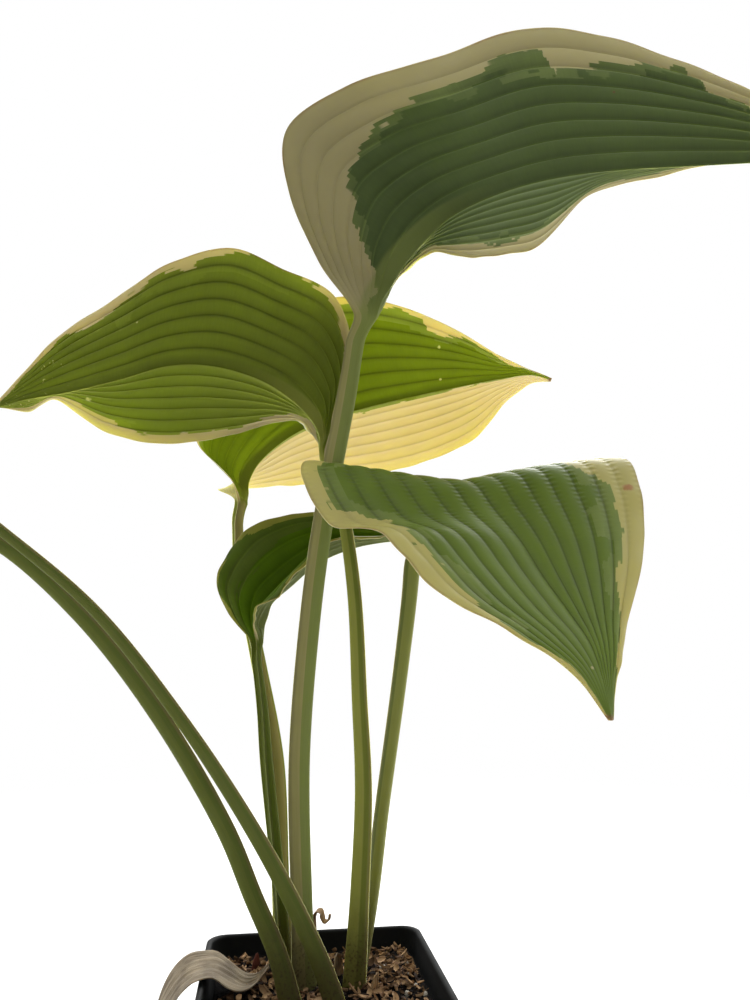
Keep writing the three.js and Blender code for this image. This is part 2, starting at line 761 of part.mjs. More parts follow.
/** The stem and the curled bract at its top, in one sweep. */
function bractGeometry(grow = 0) {
  const points = BRACT.path.map(vector);
  points[0].z -= 2 * grow;
  const [from, to] = BRACT.widens;
  const size = (share) => {
    const widened = BRACT.widening * Math.sin(Math.PI * clamp((share - from) / (to - from)));
    return [BRACT.halfWidths[0] + grow, BRACT.halfWidths[1] + widened + grow];
  };
  return tubeGeometry(points, BRACT.sides, size, new THREE.Vector3(0, 1, 0.01));
}

function budGeometry(grow = 0) {
  const [x, y] = BUD.at;
  const points = [];
  for (let i = 0; i <= BUD.steps; i += 1) {
    const share = i / BUD.steps;
    const sunk = i === 0 ? 2 * grow : 0;
    points.push(new THREE.Vector3(x + share * BUD.lean, y, between(BUD.heights, share) - sunk));
  }
  const size = (share) => {
    const radius = BUD.radius * Math.sqrt(Math.max(BUD.blunt, 1 - share ** 3)) + grow;
    return [radius, radius * BUD.flatness];
  };
  return tubeGeometry(points, BUD.sides, size, new THREE.Vector3(0, 1, 0.01));
}

// ---------------------------------------------------------------- pot

/** Corners of a rounded square, counterclockwise. */
function roundedSquare(half, radius, z, cornerSteps = POT.cornerSteps) {
  const ring = [];
  const inner = half - radius;
  for (let corner = 0; corner < 4; corner += 1) {
    const start = (corner * Math.PI) / 2;
    const cx = inner * Math.sign(Math.cos(start + Math.PI / 4));
    const cy = inner * Math.sign(Math.sin(start + Math.PI / 4));
    for (let i = 0; i <= cornerSteps; i += 1) {
      const angle = start + (i * Math.PI) / 2 / cornerSteps;
      ring.push(new THREE.Vector3(
        cx + radius * Math.cos(angle),
        cy + radius * Math.sin(angle),
        z,
      ));
    }
  }
  return ring;
}

/** Half width of the pot's inner face at a height. */
function innerHalf(z) {
  const share = z / (POT.height - POT.bandHeight);
  const outer = POT.baseWidth / 2 + ((POT.shoulderWidth - POT.baseWidth) / 2) * Math.min(1, share);
  return outer - POT.wall;
}

/** The pot's wall as half widths and heights, from the underside round to the floor. */
function potProfile() {
  const base = POT.baseWidth / 2;
  const shoulder = POT.shoulderWidth / 2;
  const band = shoulder + POT.bandStep;
  const bandFoot = POT.height - POT.bandHeight;
  const outer = POT.width / 2;
  const inner = outer - POT.lip;
  const round = POT.lipRound;
  return [
    [base - POT.baseRound, 0],
    [base, POT.baseRound],
    [shoulder, bandFoot],
    [band, bandFoot + 1],
    [outer - 1, POT.height - 4],
    [outer, POT.height - 2],
    [outer - round, POT.height - round],
    [(outer + inner) / 2, POT.height],
    [inner + round, POT.height - round],
    [inner, POT.height - 2],
    [band - POT.wall, bandFoot + 1 + POT.bandStep],
    [innerHalf(bandFoot), bandFoot + 0.6],
    [innerHalf(POT.floor), POT.floor],
  ];
}

function potSolid() {
  const skin = new Skin();
  const rings = potProfile().map(([half, z]) => {
    const radius = POT.cornerRadius - (POT.width / 2 - half) * POT.cornerTaper;
    return skin.addAll(roundedSquare(half, radius, z));
  });
  for (let i = 0; i < rings.length - 1; i += 1) skin.band(rings[i], rings[i + 1]);
  skin.fan(rings[0], true);
  skin.fan(rings[rings.length - 1], false);
  let solid = toManifold(skin.toGeometry());
  const inset = POT.baseWidth / 2 - POT.drainInset;
  [[-1, -1], [-1, 1], [1, -1], [1, 1]].forEach(([x, y]) => {
    const { drainRadius, drainSides, floor } = POT;
    const drain = new THREE.CylinderGeometry(drainRadius, drainRadius, 3 * floor, drainSides);
    drain.rotateX(Math.PI / 2);
    drain.translate(inset * x, inset * y, floor / 2);
    solid = solid.subtract(toManifold(drain));
  });
  return solid;
}

// ---------------------------------------------------------------- crown and roots

function crownGeometry(grow) {
  const bottom = CROWN.section[0][1];
  const top = CROWN.section[CROWN.section.length - 1][1];
  const middle = (top + bottom) / 2;
  const stretch = 1 + (2 * grow) / (top - bottom);
  const outline = CROWN.section.map(([share, z]) => new THREE.Vector2(
    CROWN.radius * share + (share > 0 ? grow : 0),
    middle + (z - middle) * stretch,
  ));
  const crown = new THREE.LatheGeometry(outline, CROWN.sides);
  crown.rotateX(Math.PI / 2);
  crown.translate(...CROWN.centre, 0);
  return crown;
}

/** A fleshy root from the crown's underside, bending down and out. */
function rootGeometry(index, random, grow) {
  const heading = (2 * Math.PI * (index + 0.5 * random())) / ROOTS.count;
  const spread = between(ROOTS.spread, random());
  const points = [];
  for (let i = 0; i <= ROOTS.steps; i += 1) {
    const share = i / ROOTS.steps;
    const reach = ROOTS.start + spread * Math.sin(share * ROOTS.bend);
    const sway = ROOTS.sway * Math.sin(share * ROOTS.swayTurn + index);
    points.push(new THREE.Vector3(
      reach * Math.cos(heading) - sway * Math.sin(heading),
      reach * Math.sin(heading) + sway * Math.cos(heading),
      between(ROOTS.heights, share) - (i === ROOTS.steps ? grow : 0),
    ));
  }
  const size = (share) => {
    const radius = between(ROOTS.radii, share) + grow;
    return [radius, radius];
  };
  return tubeGeometry(points, ROOTS.sides, size, new THREE.Vector3(1, 0.1, 0));
}

function scarGeometry(grow) {
  const [x, y] = SCAR.at;
  const points = SCAR.heights.map((z, i) => new THREE.Vector3(x, y + i * SCAR.lean, z));
  const size = (share) => {
    const width = SCAR.radius * (1 - SCAR.narrowing * share ** 3) + grow;
    return [width, width * SCAR.flatness];
  };
  return tubeGeometry(points, SCAR.sides, size, new THREE.Vector3(0, 1, 0.01));
}

/** The crown with its roots and old leaf scar; `grow` makes it larger all over. */
function crownSolid(grow = 0) {
  const random = seededRandom(31);
  let solid = toManifold(crownGeometry(grow)).add(toManifold(scarGeometry(grow)));
  for (let i = 0; i < ROOTS.count; i += 1) {
    solid = solid.add(toManifold(rootGeometry(i, random, grow)));
  }
  return solid;
}

// ---------------------------------------------------------------- soil

/** Height of the surface of the mix: a low mound with clods and crumbs. */
function soilHeight(x, y) {
  const distance = Math.hypot(x - CROWN.centre[0], y - CROWN.centre[1]);
  const mound = SOIL.mound * Math.exp(-((distance / SOIL.moundRadius) ** 2));
  const { clods, crumbs } = SOIL;
  const clod = Math.sin(x * clods.x + clods.warp * Math.sin(y * clods.warpY))
    * Math.sin(y * clods.y + x * clods.skew);
  const crumb = Math.sin(x * crumbs.x + crumbs.phaseX) * Math.sin(y * crumbs.y + crumbs.phaseY);
  return SOIL.level + mound + clods.height * clod + crumbs.height * crumb;
}

/** A ring of evenly spread points on a square with rounded corners. */
function soilRing(half, z) {
  const radius = Math.min(half * 0.9, POT.cornerRadius - POT.wall);
  const ring = [];
  const path = new THREE.CurvePath();
  const corners = roundedSquare(half, radius, 0, 3);
  corners.forEach((corner, i) => {
    path.add(new THREE.LineCurve3(corner, corners[(i + 1) % corners.length]));
  });
  const count = 4 * SOIL.sidePoints;
  for (let i = 0; i < count; i += 1) {
    const point = path.getPointAt(i / count);
    ring.push(point.setZ(z === null ? soilHeight(point.x, point.y) : z));
  }
  return ring;
}

function soilBody() {
  const skin = new Skin();
  const bottom = POT.floor + LOOSE_GAP;
  const edge = SOIL.level - SOIL.edgeDrop;
  const topHalf = innerHalf(edge) - LOOSE_GAP;
  const rings = [
    skin.addAll(soilRing(innerHalf(bottom) - LOOSE_GAP, bottom)),
    skin.addAll(soilRing(topHalf, edge)),
  ];
  for (let i = 0; i < SOIL.rings; i += 1) {
    rings.push(skin.addAll(soilRing(topHalf * (1 - i / SOIL.rings), null)));
  }
  for (let i = 0; i < rings.length - 1; i += 1) skin.band(rings[i], rings[i + 1]);
  skin.fan(rings[0], true);
  skin.fan(rings[rings.length - 1], false);
  return toManifold(skin.toGeometry());
}

/** A flat splinter of bark that lies half sunk in the surface. */
function chipSolid(random) {
  const length = between(SOIL.chipLength, random());
  const width = between(SOIL.chipWidth, random());
  const thickness = between(SOIL.chipThickness, random());
  const tilt = () => (2 * random() - 1) * SOIL.chipTilt;
  const chip = new THREE.CylinderGeometry(...SOIL.chipTaper, 1, 4);
  chip.rotateX(Math.PI / 2);
  chip.scale(length, width, thickness);
  chip.rotateY(tilt());
  chip.rotateX(tilt());
  chip.rotateZ(random() * Math.PI);
  const reach = innerHalf(SOIL.level) - SOIL.chipLength[1] / 2 - SOIL.chipMargin;
  const x = (2 * random() - 1) * reach;
  const y = (2 * random() - 1) * reach;
  chip.translate(x, y, soilHeight(x, y) + SOIL.chipRise);
  return toManifold(chip);
}

function soilSolid() {
  const random = seededRandom(7);
  let solid = soilBody();
  for (let i = 0; i < SOIL.chips; i += 1) solid = solid.add(chipSolid(random));
  const holes = [crownSolid(CLEARANCE), ...LEAVES.map(footSolid)];
  SCRAPS.forEach((scrap) => holes.push(toManifold(scrapGeometry(scrap, CLEARANCE))));
  holes.push(toManifold(bractGeometry(CLEARANCE)), toManifold(budGeometry(CLEARANCE)));
  holes.forEach((hole) => {
    solid = solid.subtract(hole);
  });
  return largestBody(solid);
}

// ---------------------------------------------------------------- assembly

const pot = new THREE.Group();
pot.add(makeMesh('pot', toGeometry(potSolid()), 0x141616, 0.45));
pot.add(makeMesh('soil', toGeometry(soilSolid()), 0x2a211a, 0.95));

const plant = new THREE.Group();
plant.add(makeMesh('crown', toGeometry(crownSolid()), 0x6b4a38, 0.8));
LEAVES.forEach((leaf) => plant.add(makeMesh(leaf.name, leafGeometry(leaf), leaf.colour, 0.5)));
SCRAPS.forEach((scrap) => {
  plant.add(makeMesh(scrap.name, scrapGeometry(scrap), scrap.colour, 0.9));
});
plant.add(makeMesh('curled_bract', bractGeometry(), BRACT.colour, 0.85));
plant.add(makeMesh('bud', budGeometry(), BUD.colour, 0.6));

const hosta = new THREE.Group();
hosta.add(pot, plant);

export default hosta;
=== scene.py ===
"""A potted hosta: seven variegated leaves on long stalks, in a square nursery pot of bark mix.

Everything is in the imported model's frame: +Z up, the origin at the centre of the pot's
underside. Sizes below are millimetres unless a name says otherwise.
"""

from __future__ import annotations

import logging
import math
from dataclasses import dataclass
from enum import Enum
from typing import Any, Sequence

import bmesh
import bpy
import numpy as np
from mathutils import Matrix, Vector, noise


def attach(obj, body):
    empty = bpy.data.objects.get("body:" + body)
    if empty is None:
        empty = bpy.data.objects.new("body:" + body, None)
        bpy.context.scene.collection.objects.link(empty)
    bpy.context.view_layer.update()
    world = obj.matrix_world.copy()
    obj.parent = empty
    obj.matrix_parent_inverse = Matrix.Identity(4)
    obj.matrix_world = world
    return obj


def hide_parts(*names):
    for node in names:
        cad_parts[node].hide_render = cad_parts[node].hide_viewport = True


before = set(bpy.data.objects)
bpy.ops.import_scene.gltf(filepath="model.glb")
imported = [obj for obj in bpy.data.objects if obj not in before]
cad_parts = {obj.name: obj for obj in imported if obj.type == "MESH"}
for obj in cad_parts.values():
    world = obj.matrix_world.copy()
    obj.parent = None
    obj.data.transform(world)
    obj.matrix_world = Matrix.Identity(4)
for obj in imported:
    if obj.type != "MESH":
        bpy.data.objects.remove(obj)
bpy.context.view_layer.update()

LOG = logging.getLogger("hosta")
MM = 0.001
BODY = "root"
WELD_GAP = 0.01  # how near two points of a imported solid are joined

Colour = tuple[float, float, float, float]
Point = Sequence[float]
Stops = Sequence[tuple[float, float]]


def display(red: int, green: int, blue: int) -> Colour:
    """Turn a display colour, 0 to 255, into a linear one.

    Args:
        red: Red as shown on a screen.
        green: Green as shown on a screen.
        blue: Blue as shown on a screen.

    Returns:
        The linear colour, with full alpha.
    """
    def linear(value: int) -> float:
        """One channel's linear value."""
        share = value / 255
        return share / 12.92 if share <= 0.04045 else ((share + 0.055) / 1.055) ** 2.4
    return linear(red), linear(green), linear(blue), 1.0


# ------------------------------------------------------------------ shader expressions


class Shade:
    """The output of a shader node, with arithmetic that adds Math nodes."""

    def __init__(self, nodes: Nodes, socket: bpy.types.NodeSocket) -> None:
        """Wrap a socket.

        Args:
            nodes: The node tree that the socket is in.
            socket: The output socket.
        """
        self.nodes = nodes
        self.socket = socket

    def math(self, operation: str, *values: Any) -> Shade:
        """Add a Math node whose first value is this one.

        Args:
            operation: The node's operation.
            *values: Its other values, numbers or shades.

        Returns:
            The node's result.
        """
        inputs = dict(enumerate((self, *values)))
        return self.nodes.add("ShaderNodeMath", {"operation": operation}, inputs)

    def __add__(self, other: Any) -> Shade:
        """This value plus another."""
        return self.math("ADD", other)

    def __sub__(self, other: Any) -> Shade:
        """This value less another."""
        return self.math("SUBTRACT", other)

    def __mul__(self, other: Any) -> Shade:
        """This value times another."""
        return self.math("MULTIPLY", other)

    def __rsub__(self, other: float) -> Shade:
        """A number less this value."""
        return (self * -1) + other

    __radd__ = __add__

    def ramp(self, low: float, high: float) -> Shade:
        """Rise smoothly from 0 to 1.

        Args:
            low: The value where the rise starts.
            high: The value where it ends.

        Returns:
            The share of the rise.
        """
        settings = {"interpolation_type": "SMOOTHSTEP"}
        inputs = {"Value": self, "From Min": low, "From Max": high}
        return self.nodes.add("ShaderNodeMapRange", settings, inputs)

    def split(self) -> list[Shade]:
        """The three numbers of a vector."""
        first = self.nodes.add("ShaderNodeSeparateXYZ", {}, {0: self})
        return [Shade(self.nodes, socket) for socket in first.socket.node.outputs]


class Nodes:
    """A node tree that is written as expressions."""

    def __init__(self, tree: bpy.types.NodeTree) -> None:
        """Wrap a node tree.

        Args:
            tree: The tree of a material, the world or a modifier.
        """
        self.tree = tree

    def node(self, kind: str, settings: dict[str, Any], inputs: dict[Any, Any]) -> bpy.types.Node:
        """Add any node.

        Args:
            kind: The node's type.
            settings: Its properties, which are set first.
            inputs: Values or shades for its sockets, by name or number.

        Returns:
            The node.
        """
        node = self.tree.nodes.new(kind)
        for key, value in settings.items():
            setattr(node, key, value)
        for key, value in inputs.items():
            if isinstance(value, Shade):
                self.tree.links.new(value.socket, node.inputs[key])
            else:
                node.inputs[key].default_value = value
        return node

    def add(self, kind: str, settings: dict[str, Any], inputs: dict[Any, Any],
            output: int | str = 0) -> Shade:
        """Add a node and take one of its outputs.

        Args:
            kind: The node's type.
            settings: Its properties.
            inputs: Values or shades for its sockets, by name or number.
            output: The output that is wanted.

        Returns:
            That output.
        """
        return Shade(self, self.node(kind, settings, inputs).outputs[output])

    def attribute(self, name: str) -> Shade:
        """A mesh attribute's vector."""
        return self.add("ShaderNodeAttribute", {"attribute_name": name}, {}, "Vector")

    def position(self) -> Shade:
        """The place on the piece, in metres in the frame."""
        return self.add("ShaderNodeTexCoord", {}, {}, "Object")

    def vector(self, x: Any, y: Any, z: Any) -> Shade:
        """A vector of three values."""
        return self.add("ShaderNodeCombineXYZ", {}, {0: x, 1: y, 2: z})

    def noise(self, vector: Shade, scale: float, detail: float = 3) -> Shade:
        """Noise about 0, at most half a unit either way.

        Args:
            vector: Where it is read.
            scale: How fine it is.
            detail: How many finer layers it has.

        Returns:
            The noise.
        """
        inputs = {"Vector": vector, "Scale": scale, "Detail": detail}
        return self.add("ShaderNodeTexNoise", {}, inputs) - 0.5

    def grain(self, vector: Shade, scale: Point, detail: float) -> Shade:
        """Noise about 0 that is finer one way than another.

        Args:
            vector: Where it is read.
            scale: How fine it is each way.
            detail: How many finer layers it has.

        Returns:
            The noise.
        """
        stretched = self.add("ShaderNodeMapping", {}, {"Vector": vector, "Scale": scale})
        return self.noise(stretched, 1.0, detail)

    def distance(self, vector: Shade, point: Point) -> Shade:
        """The distance from a point, in metres."""
        inputs = {0: vector, 1: tuple(value * MM for value in point)}
        return self.add("ShaderNodeVectorMath", {"operation": "DISTANCE"}, inputs, "Value")

    def mix(self, share: Any, first: Any, second: Any) -> Shade:
        """Mix two colours.

        Args:
            share: How much of the second shows, from 0 to 1.
            first: A colour or shade.
            second: A colour or shade.

        Returns:
            The mixed colour.
        """
        settings = {"data_type": "RGBA", "clamp_factor": True}
        return self.add("ShaderNodeMix", settings, {0: share, 6: first, 7: second}, 2)

    def brighten(self, colour: Shade, gain: Shade) -> Shade:
        """A colour times a number.

        Args:
            colour: The colour.
            gain: What it is multiplied by.

        Returns:
            The brighter or darker colour.
        """
        return self.add("ShaderNodeVectorMath", {"operation": "SCALE"},
                        {0: colour, "Scale": gain})

    def bump(self, height: Shade, depth: float, strength: float) -> Shade:
        """A surface normal with relief.

        Args:
            height: The relief, in units of its depth.
            depth: The depth, in mm.
            strength: How much of it shows.

        Returns:
            The normal.
        """
        inputs = {"Height": height, "Distance": depth * MM, "Strength": strength}
        return self.add("ShaderNodeBump", {}, inputs)

    def surface(self, inputs: dict[str, Any]) -> None:
        """End a material in one glossy surface.

        Args:
            inputs: The values and shades of the surface's sockets.
        """
        shader = self.add("ShaderNodeBsdfPrincipled", {}, inputs)
        self.node("ShaderNodeOutputMaterial", {}, {"Surface": shader})


def new_material(name: str) -> tuple[bpy.types.Material, Nodes]:
    """Start a material with an empty tree.

    Args:
        name: The material's name.

    Returns:
        The material and its tree.
    """
    material = bpy.data.materials.new(name)
    material.use_nodes = True
    material.node_tree.nodes.clear()
    return material, Nodes(material.node_tree)


# ------------------------------------------------------------------ finishes


BROAD_STRIPS = 15  # strips across half a leaf, in which its margin steps
FINE_STRIPS = 41  # finer strips, which fray the same margin


@dataclass(frozen=True)
class LeafPoint:
    """What a leaf's material knows of the point that it colours."""

    nodes: Nodes
    position: Shade  # in metres in the frame
    across: Shade  # share across a half, negative on the left
    reach: Shade  # the same without its sign
    along: Shade  # distance along the midrib, in cm
    share: Shade  # share along the blade, negative on the stalk
    under: Shade  # 1 on the underside
    vein: Shade  # distance from the nearest vein, as a share of their spacing
    mottle: Shade  # soft noise


@dataclass(frozen=True)
class LeafFinish:
    """The skin of a leaf: green, a sage zone, a stepped cream margin, and an olive stalk.

    It reads two attributes. `place` is the share across a half, the distance along in cm and
    the share along the blade. `zone` is where the cream starts, where the sage before it
    starts, and 1 on the underside. The stalk can have a pale strip, and its own colour runs on
    up the keel of the underside. Flecks and single spots can lie on the blade. Dark lines
    and flanks along the veins are painted shade, and the right half's green can carry painted light.
    """

    name: str
    veins: int
    seed: float
    green: Colour = display(84, 112, 44)
    green_under: Colour = display(88, 116, 66)
    sage: Colour = display(130, 150, 92)
    cream: Colour = display(206, 196, 128)
    cream_under: Colour = display(182, 172, 132)
    vein_gain: tuple[float, float] = (-0.42, 0.2)  # gain of the line along each vein, on the upper face and the underside; a dark line is painted shade
    neck_gain: float = 0.3  # the same on both faces near the stalk
    right_half_painted_light: float = 1.0  # painted light: how much brighter or darker the right half's green is painted than the left's
    border: float = 0.003  # half the width of the line between two colours
    fray: float = 0.1  # how far the fine strips shift both borders
    cream_shift: float = 0.16  # how far the broad strips shift where the cream starts
    sage_shift: float = 0.3  # the same for the sage
    stalk: Colour = display(112, 118, 66)
    stalk_rim: Colour = display(134, 124, 84)
    stalk_dark: Colour = display(84, 98, 30)
    foot: Colour = display(70, 56, 32)
    foot_heights: tuple[float, float] = (0.135, 0.09)  # where its brown starts and is full
    strip: tuple[float, float] = (1.4, 1.5)  # where the stalk is pale, as shares across
    strip_colour: Colour = display(136, 130, 88)
    rust: Colour = display(132, 96, 62)
    pucker: float = 0.0
    pucker_spacing: float = 0.3  # in cm
    roughness: float = 0.46
    relief: float = 0.35  # in mm
    glow: float = 0.8  # how far light travels under the skin, in mm
    sheen: float = 0.4
    flecks: float = 2.0  # share along the blade from which it has pale flecks
    spots: Sequence[tuple[Point, float, Colour]] = ()  # centre and radius in mm, and colour

    def material(self) -> bpy.types.Material:
        """Build the finish's node tree.

        Returns:
            The material.
        """
        material, nodes = new_material(self.name)
        across, along, share = nodes.attribute("place").split()
        cream_border, sage_border, under = nodes.attribute("zone").split()
        position = nodes.position()
        reach = across.math("ABSOLUTE")
        vein = (reach * self.veins).math("PINGPONG", 0.5)
        at = LeafPoint(nodes, position, across, reach, along, share, under, vein,
                       nodes.noise(position, 60))
        blade = (share + 0.02).ramp(0.0, 0.06)
        colour = self.blade_colour(at, cream_border, sage_border)
        height = at.mottle * 0.5 + self.puckers(at)
        nodes.surface({
            "Base Color": nodes.mix(blade, self.stalk_colour(at), colour),
            "Roughness": self.roughness + under * 0.14 + at.mottle * 0.2,
            "Normal": nodes.bump(height * blade, self.relief, 0.6),
            "Subsurface Weight": 1.0,
            "Subsurface Radius": (1.0, 1.05, 0.55),
            "Subsurface Scale": self.glow * MM,
            "Specular IOR Level": self.sheen,
        })
        return material

    def blade_colour(self, at: LeafPoint, cream_border: Shade, sage_border: Shade) -> Shade:
        """The blade's colour: green at the midrib, then sage, then cream, with its stains, painted
        shade along the veins and painted light on the right half.

        Args:
            at: The point.
            cream_border: Where the cream starts, as a share across a half.
            sage_border: Where the sage starts.

        Returns:
            The colour.
        """
        nodes = at.nodes
        stepped = strips(at.reach, BROAD_STRIPS) * 0.5 + strips(at.reach, FINE_STRIPS) * 0.5
        torn = self.streaks(at, FINE_STRIPS, 0.9, 5) * self.fray
        over_cream = stepped - cream_border + self.streaks(at, BROAD_STRIPS, 0.45, 0) * self.cream_shift
        over_sage = stepped - sage_border + self.streaks(at, BROAD_STRIPS, 0.6, 11) * self.sage_shift
        cream_share = (over_cream + torn).ramp(-self.border, self.border)
        sage_share = (over_sage + torn).ramp(-self.border, self.border)
        patch = 0.55 + self.streaks(at, BROAD_STRIPS, 0.3, 23) * 1.2
        green = nodes.mix(at.under, self.green, self.green_under)
        cream = nodes.mix(at.under, self.cream, self.cream_under)
        colour = nodes.mix(sage_share * patch, green, self.sage)
        # painted light: the right half's green is made brighter or darker than the left's for the light
        # on it
        right = at.across.ramp(-0.02, 0.02)
        colour = nodes.brighten(colour, self.green_gain(at) + right * (self.right_half_painted_light - 1))
        cream = nodes.brighten(cream, 1 + at.mottle * 0.12 - (1 - at.vein.ramp(0.0, 0.2)) * 0.07)
        colour = nodes.mix(cream_share, colour, cream)
        colour = self.spotted(at, colour)
        colour = nodes.mix(self.stained(at), colour, self.rust)
        return nodes.mix(self.keel(at) * 0.6, colour, self.stalk)

    def streaks(self, at: LeafPoint, cells: int, pace: float, shift: float) -> Shade:
        """Noise that steps from strip to strip across a leaf and runs smoothly along it.

        Args:
            at: The point.
            cells: How many strips a half has.
            pace: How fast it changes along the leaf.
            shift: A shift that makes another pattern.

        Returns:
            The noise.
        """
        strip = (at.across * cells).math("FLOOR") * 7.31
        vector = at.nodes.vector(strip, at.along * pace, self.seed * 13.7 + shift)
        return at.nodes.noise(vector, 1.0, 2)

    def green_gain(self, at: LeafPoint) -> Shade:
        """How bright the green is: fine cross veinlets, a line along each vein, and painted shade
        on both sides of it. A dark line along a vein is painted shade too.

        Near the stalk that line is pale on both faces.

        Args:
            at: The point.

        Returns:
            The gain.
        """
        upper_gain, under_gain = self.vein_gain
        veinlets = at.nodes.vector(at.reach * self.veins, at.along * 14, self.seed)
        cross = at.nodes.noise(veinlets, 1.0, 2)
        # the line along each vein: where its gain is below 0 it is painted shade
        line = 1 - at.vein.ramp(0.02, 0.1)
        # painted shade on both sides of each vein
        flank = 1 - at.vein.ramp(0.04, 0.36)
        line_gain = upper_gain + at.under * (under_gain - upper_gain)
        beyond_neck = at.share.ramp(0.18, 0.42)
        on_line = line * (self.neck_gain + beyond_neck * (line_gain - self.neck_gain))
        return 1 + at.mottle * 0.26 + cross * 0.16 + on_line - flank * 0.12

    def spotted(self, at: LeafPoint, colour: Shade) -> Shade:
        """The blade's colour with its spots and flecks.

        Args:
            at: The point.
            colour: The colour without them.

        Returns:
            The colour.
        """
        nodes = at.nodes
        if self.flecks < 1:
            grains = nodes.noise(at.position, 620, 2).ramp(0.14, 0.2)
            patches = nodes.noise(at.position, 90, 2).ramp(0.0, 0.1)
            fleck = grains * patches * at.share.ramp(self.flecks, self.flecks + 0.03)
            colour = nodes.mix(fleck * 0.8, colour, self.cream)
        for centre, radius, stain in self.spots:
            ragged = nodes.noise(at.position, 500, 2) * radius * MM * 1.2
            gap = nodes.distance(at.position, centre) + ragged
            colour = nodes.mix(gap.ramp(radius * MM, radius * MM * 0.3) * 0.8, colour, stain)
        return colour

    def stained(self, at: LeafPoint) -> Shade:
        """The share of dry brown: along the very margin and on the tip.

        Args:
            at: The point.

        Returns:
            The share, from 0 to 1.
        """
        patchy = at.nodes.noise(at.position, 45).ramp(-0.16, 0.2)
        margin = at.reach.ramp(0.98, 1.0) * (0.15 + patchy * 0.4)
        return margin + at.share.ramp(0.985, 0.998) * 0.85

    def keel(self, at: LeafPoint) -> Shade:
        """How much of the stalk's colour runs up the underside's keel, which tapers away."""
        narrow = (at.reach * (at.share + 0.03)).ramp(0.036, 0.026)
        return narrow * at.share.ramp(0.5, 0.15) * at.under

    def stalk_colour(self, at: LeafPoint) -> Shade:
        """The stalk's colour: olive, a pale strip, dark flanks, beige rims and a brown foot.

        Args:
            at: The point.

        Returns:
            The colour.
        """
        nodes = at.nodes
        fibre = nodes.noise(nodes.vector(at.across * 24, at.along * 0.5, self.seed), 1.0)
        low, high = self.strip
        pale = at.across.ramp(low, low + 0.03) * at.across.ramp(high, high - 0.03)
        flank = at.reach.ramp(0.84, 0.9) * at.under
        colour = nodes.mix(pale * 0.9, self.stalk, self.strip_colour)
        colour = nodes.mix(flank * (0.6 - pale * 0.5), colour, self.stalk_dark)
        colour = nodes.mix((at.reach - at.under * 0.075).ramp(0.9, 0.93), colour, self.stalk_rim)
        colour = nodes.brighten(colour, 1 + fibre * 0.3)
        speckle = nodes.noise(at.position, 900).ramp(0.0, 0.2) * 0.35
        height = at.position.split()[2] + nodes.noise(at.position, 90) * 0.03
        return nodes.mix(height.ramp(*self.foot_heights) * (0.62 + speckle), colour, self.foot)

    def puckers(self, at: LeafPoint) -> Any:
        """The height of short cross wrinkles beside the veins, where the blade bends over.

        Args:
            at: The point.

        Returns:
            The height, which is 0 on a leaf without them.
        """
        if not self.pucker:
            return 0.0
        sway = at.nodes.noise(at.position, 120) * 5
        wrinkle = (at.along * (2 * math.pi / self.pucker_spacing) + sway).math("SINE")
        bend = at.share.ramp(0.08, 0.2) * at.share.ramp(0.62, 0.42)
        return wrinkle * at.vein.ramp(0.36, 0.08) * bend * self.pucker


def strips(reach: Shade, count: int) -> Shade:
    """The distance from the midrib in equal steps, like the strips that a leaf grows in."""
    return ((reach * count).math("FLOOR") + 0.5) * (1 / count)


@dataclass(frozen=True)
class PlasticFinish:
    """Moulded black plastic with faint dust and scuffs."""

    name: str = "moulded_plastic"
    colour: Colour = display(19, 20, 20)
    dust: Colour = display(52, 48, 40)

    def material(self) -> bpy.types.Material:
        """Build the finish's node tree.

        Returns:
            The material.
        """
        material, nodes = new_material(self.name)
        position = nodes.position()
        cloud = nodes.noise(position, 55, 6)
        grain = nodes.noise(position, 1400, 2)
        streak = nodes.grain(position, (420, 420, 26), 3)
        dusty = cloud.ramp(0.06, 0.26) * 0.2 + streak.ramp(0.12, 0.3) * 0.1
        nodes.surface({
            "Base Color": nodes.mix(dusty, self.colour, self.dust),
            "Roughness": 0.66 + cloud * 0.24 + dusty * 0.5,
            "Normal": nodes.bump(grain + cloud * 0.6, 0.12, 0.5),
            "Specular IOR Level": 0.12,
        })
        return material


@dataclass(frozen=True)
class EarthFinish:
    """Moist black potting mix."""

    name: str = "black_mix"
    colour: Colour = display(9, 7, 6)
    crumb: Colour = display(30, 21, 15)

    def material(self) -> bpy.types.Material:
        """Build the finish's node tree.

        Returns:
            The material.
        """
        material, nodes = new_material(self.name)
        position = nodes.position()
        clods = nodes.noise(position, 260, 6)
        fibre = nodes.noise(position, 1100, 3)
        nodes.surface({
            "Base Color": nodes.mix((clods + fibre * 0.6).ramp(-0.05, 0.3), self.colour, self.crumb),
            "Roughness": 0.9 + fibre * 0.2,
            "Normal": nodes.bump(clods + fibre * 0.4, 1.6, 1.0),
            "Specular IOR Level": 0.05,
        })
        return material


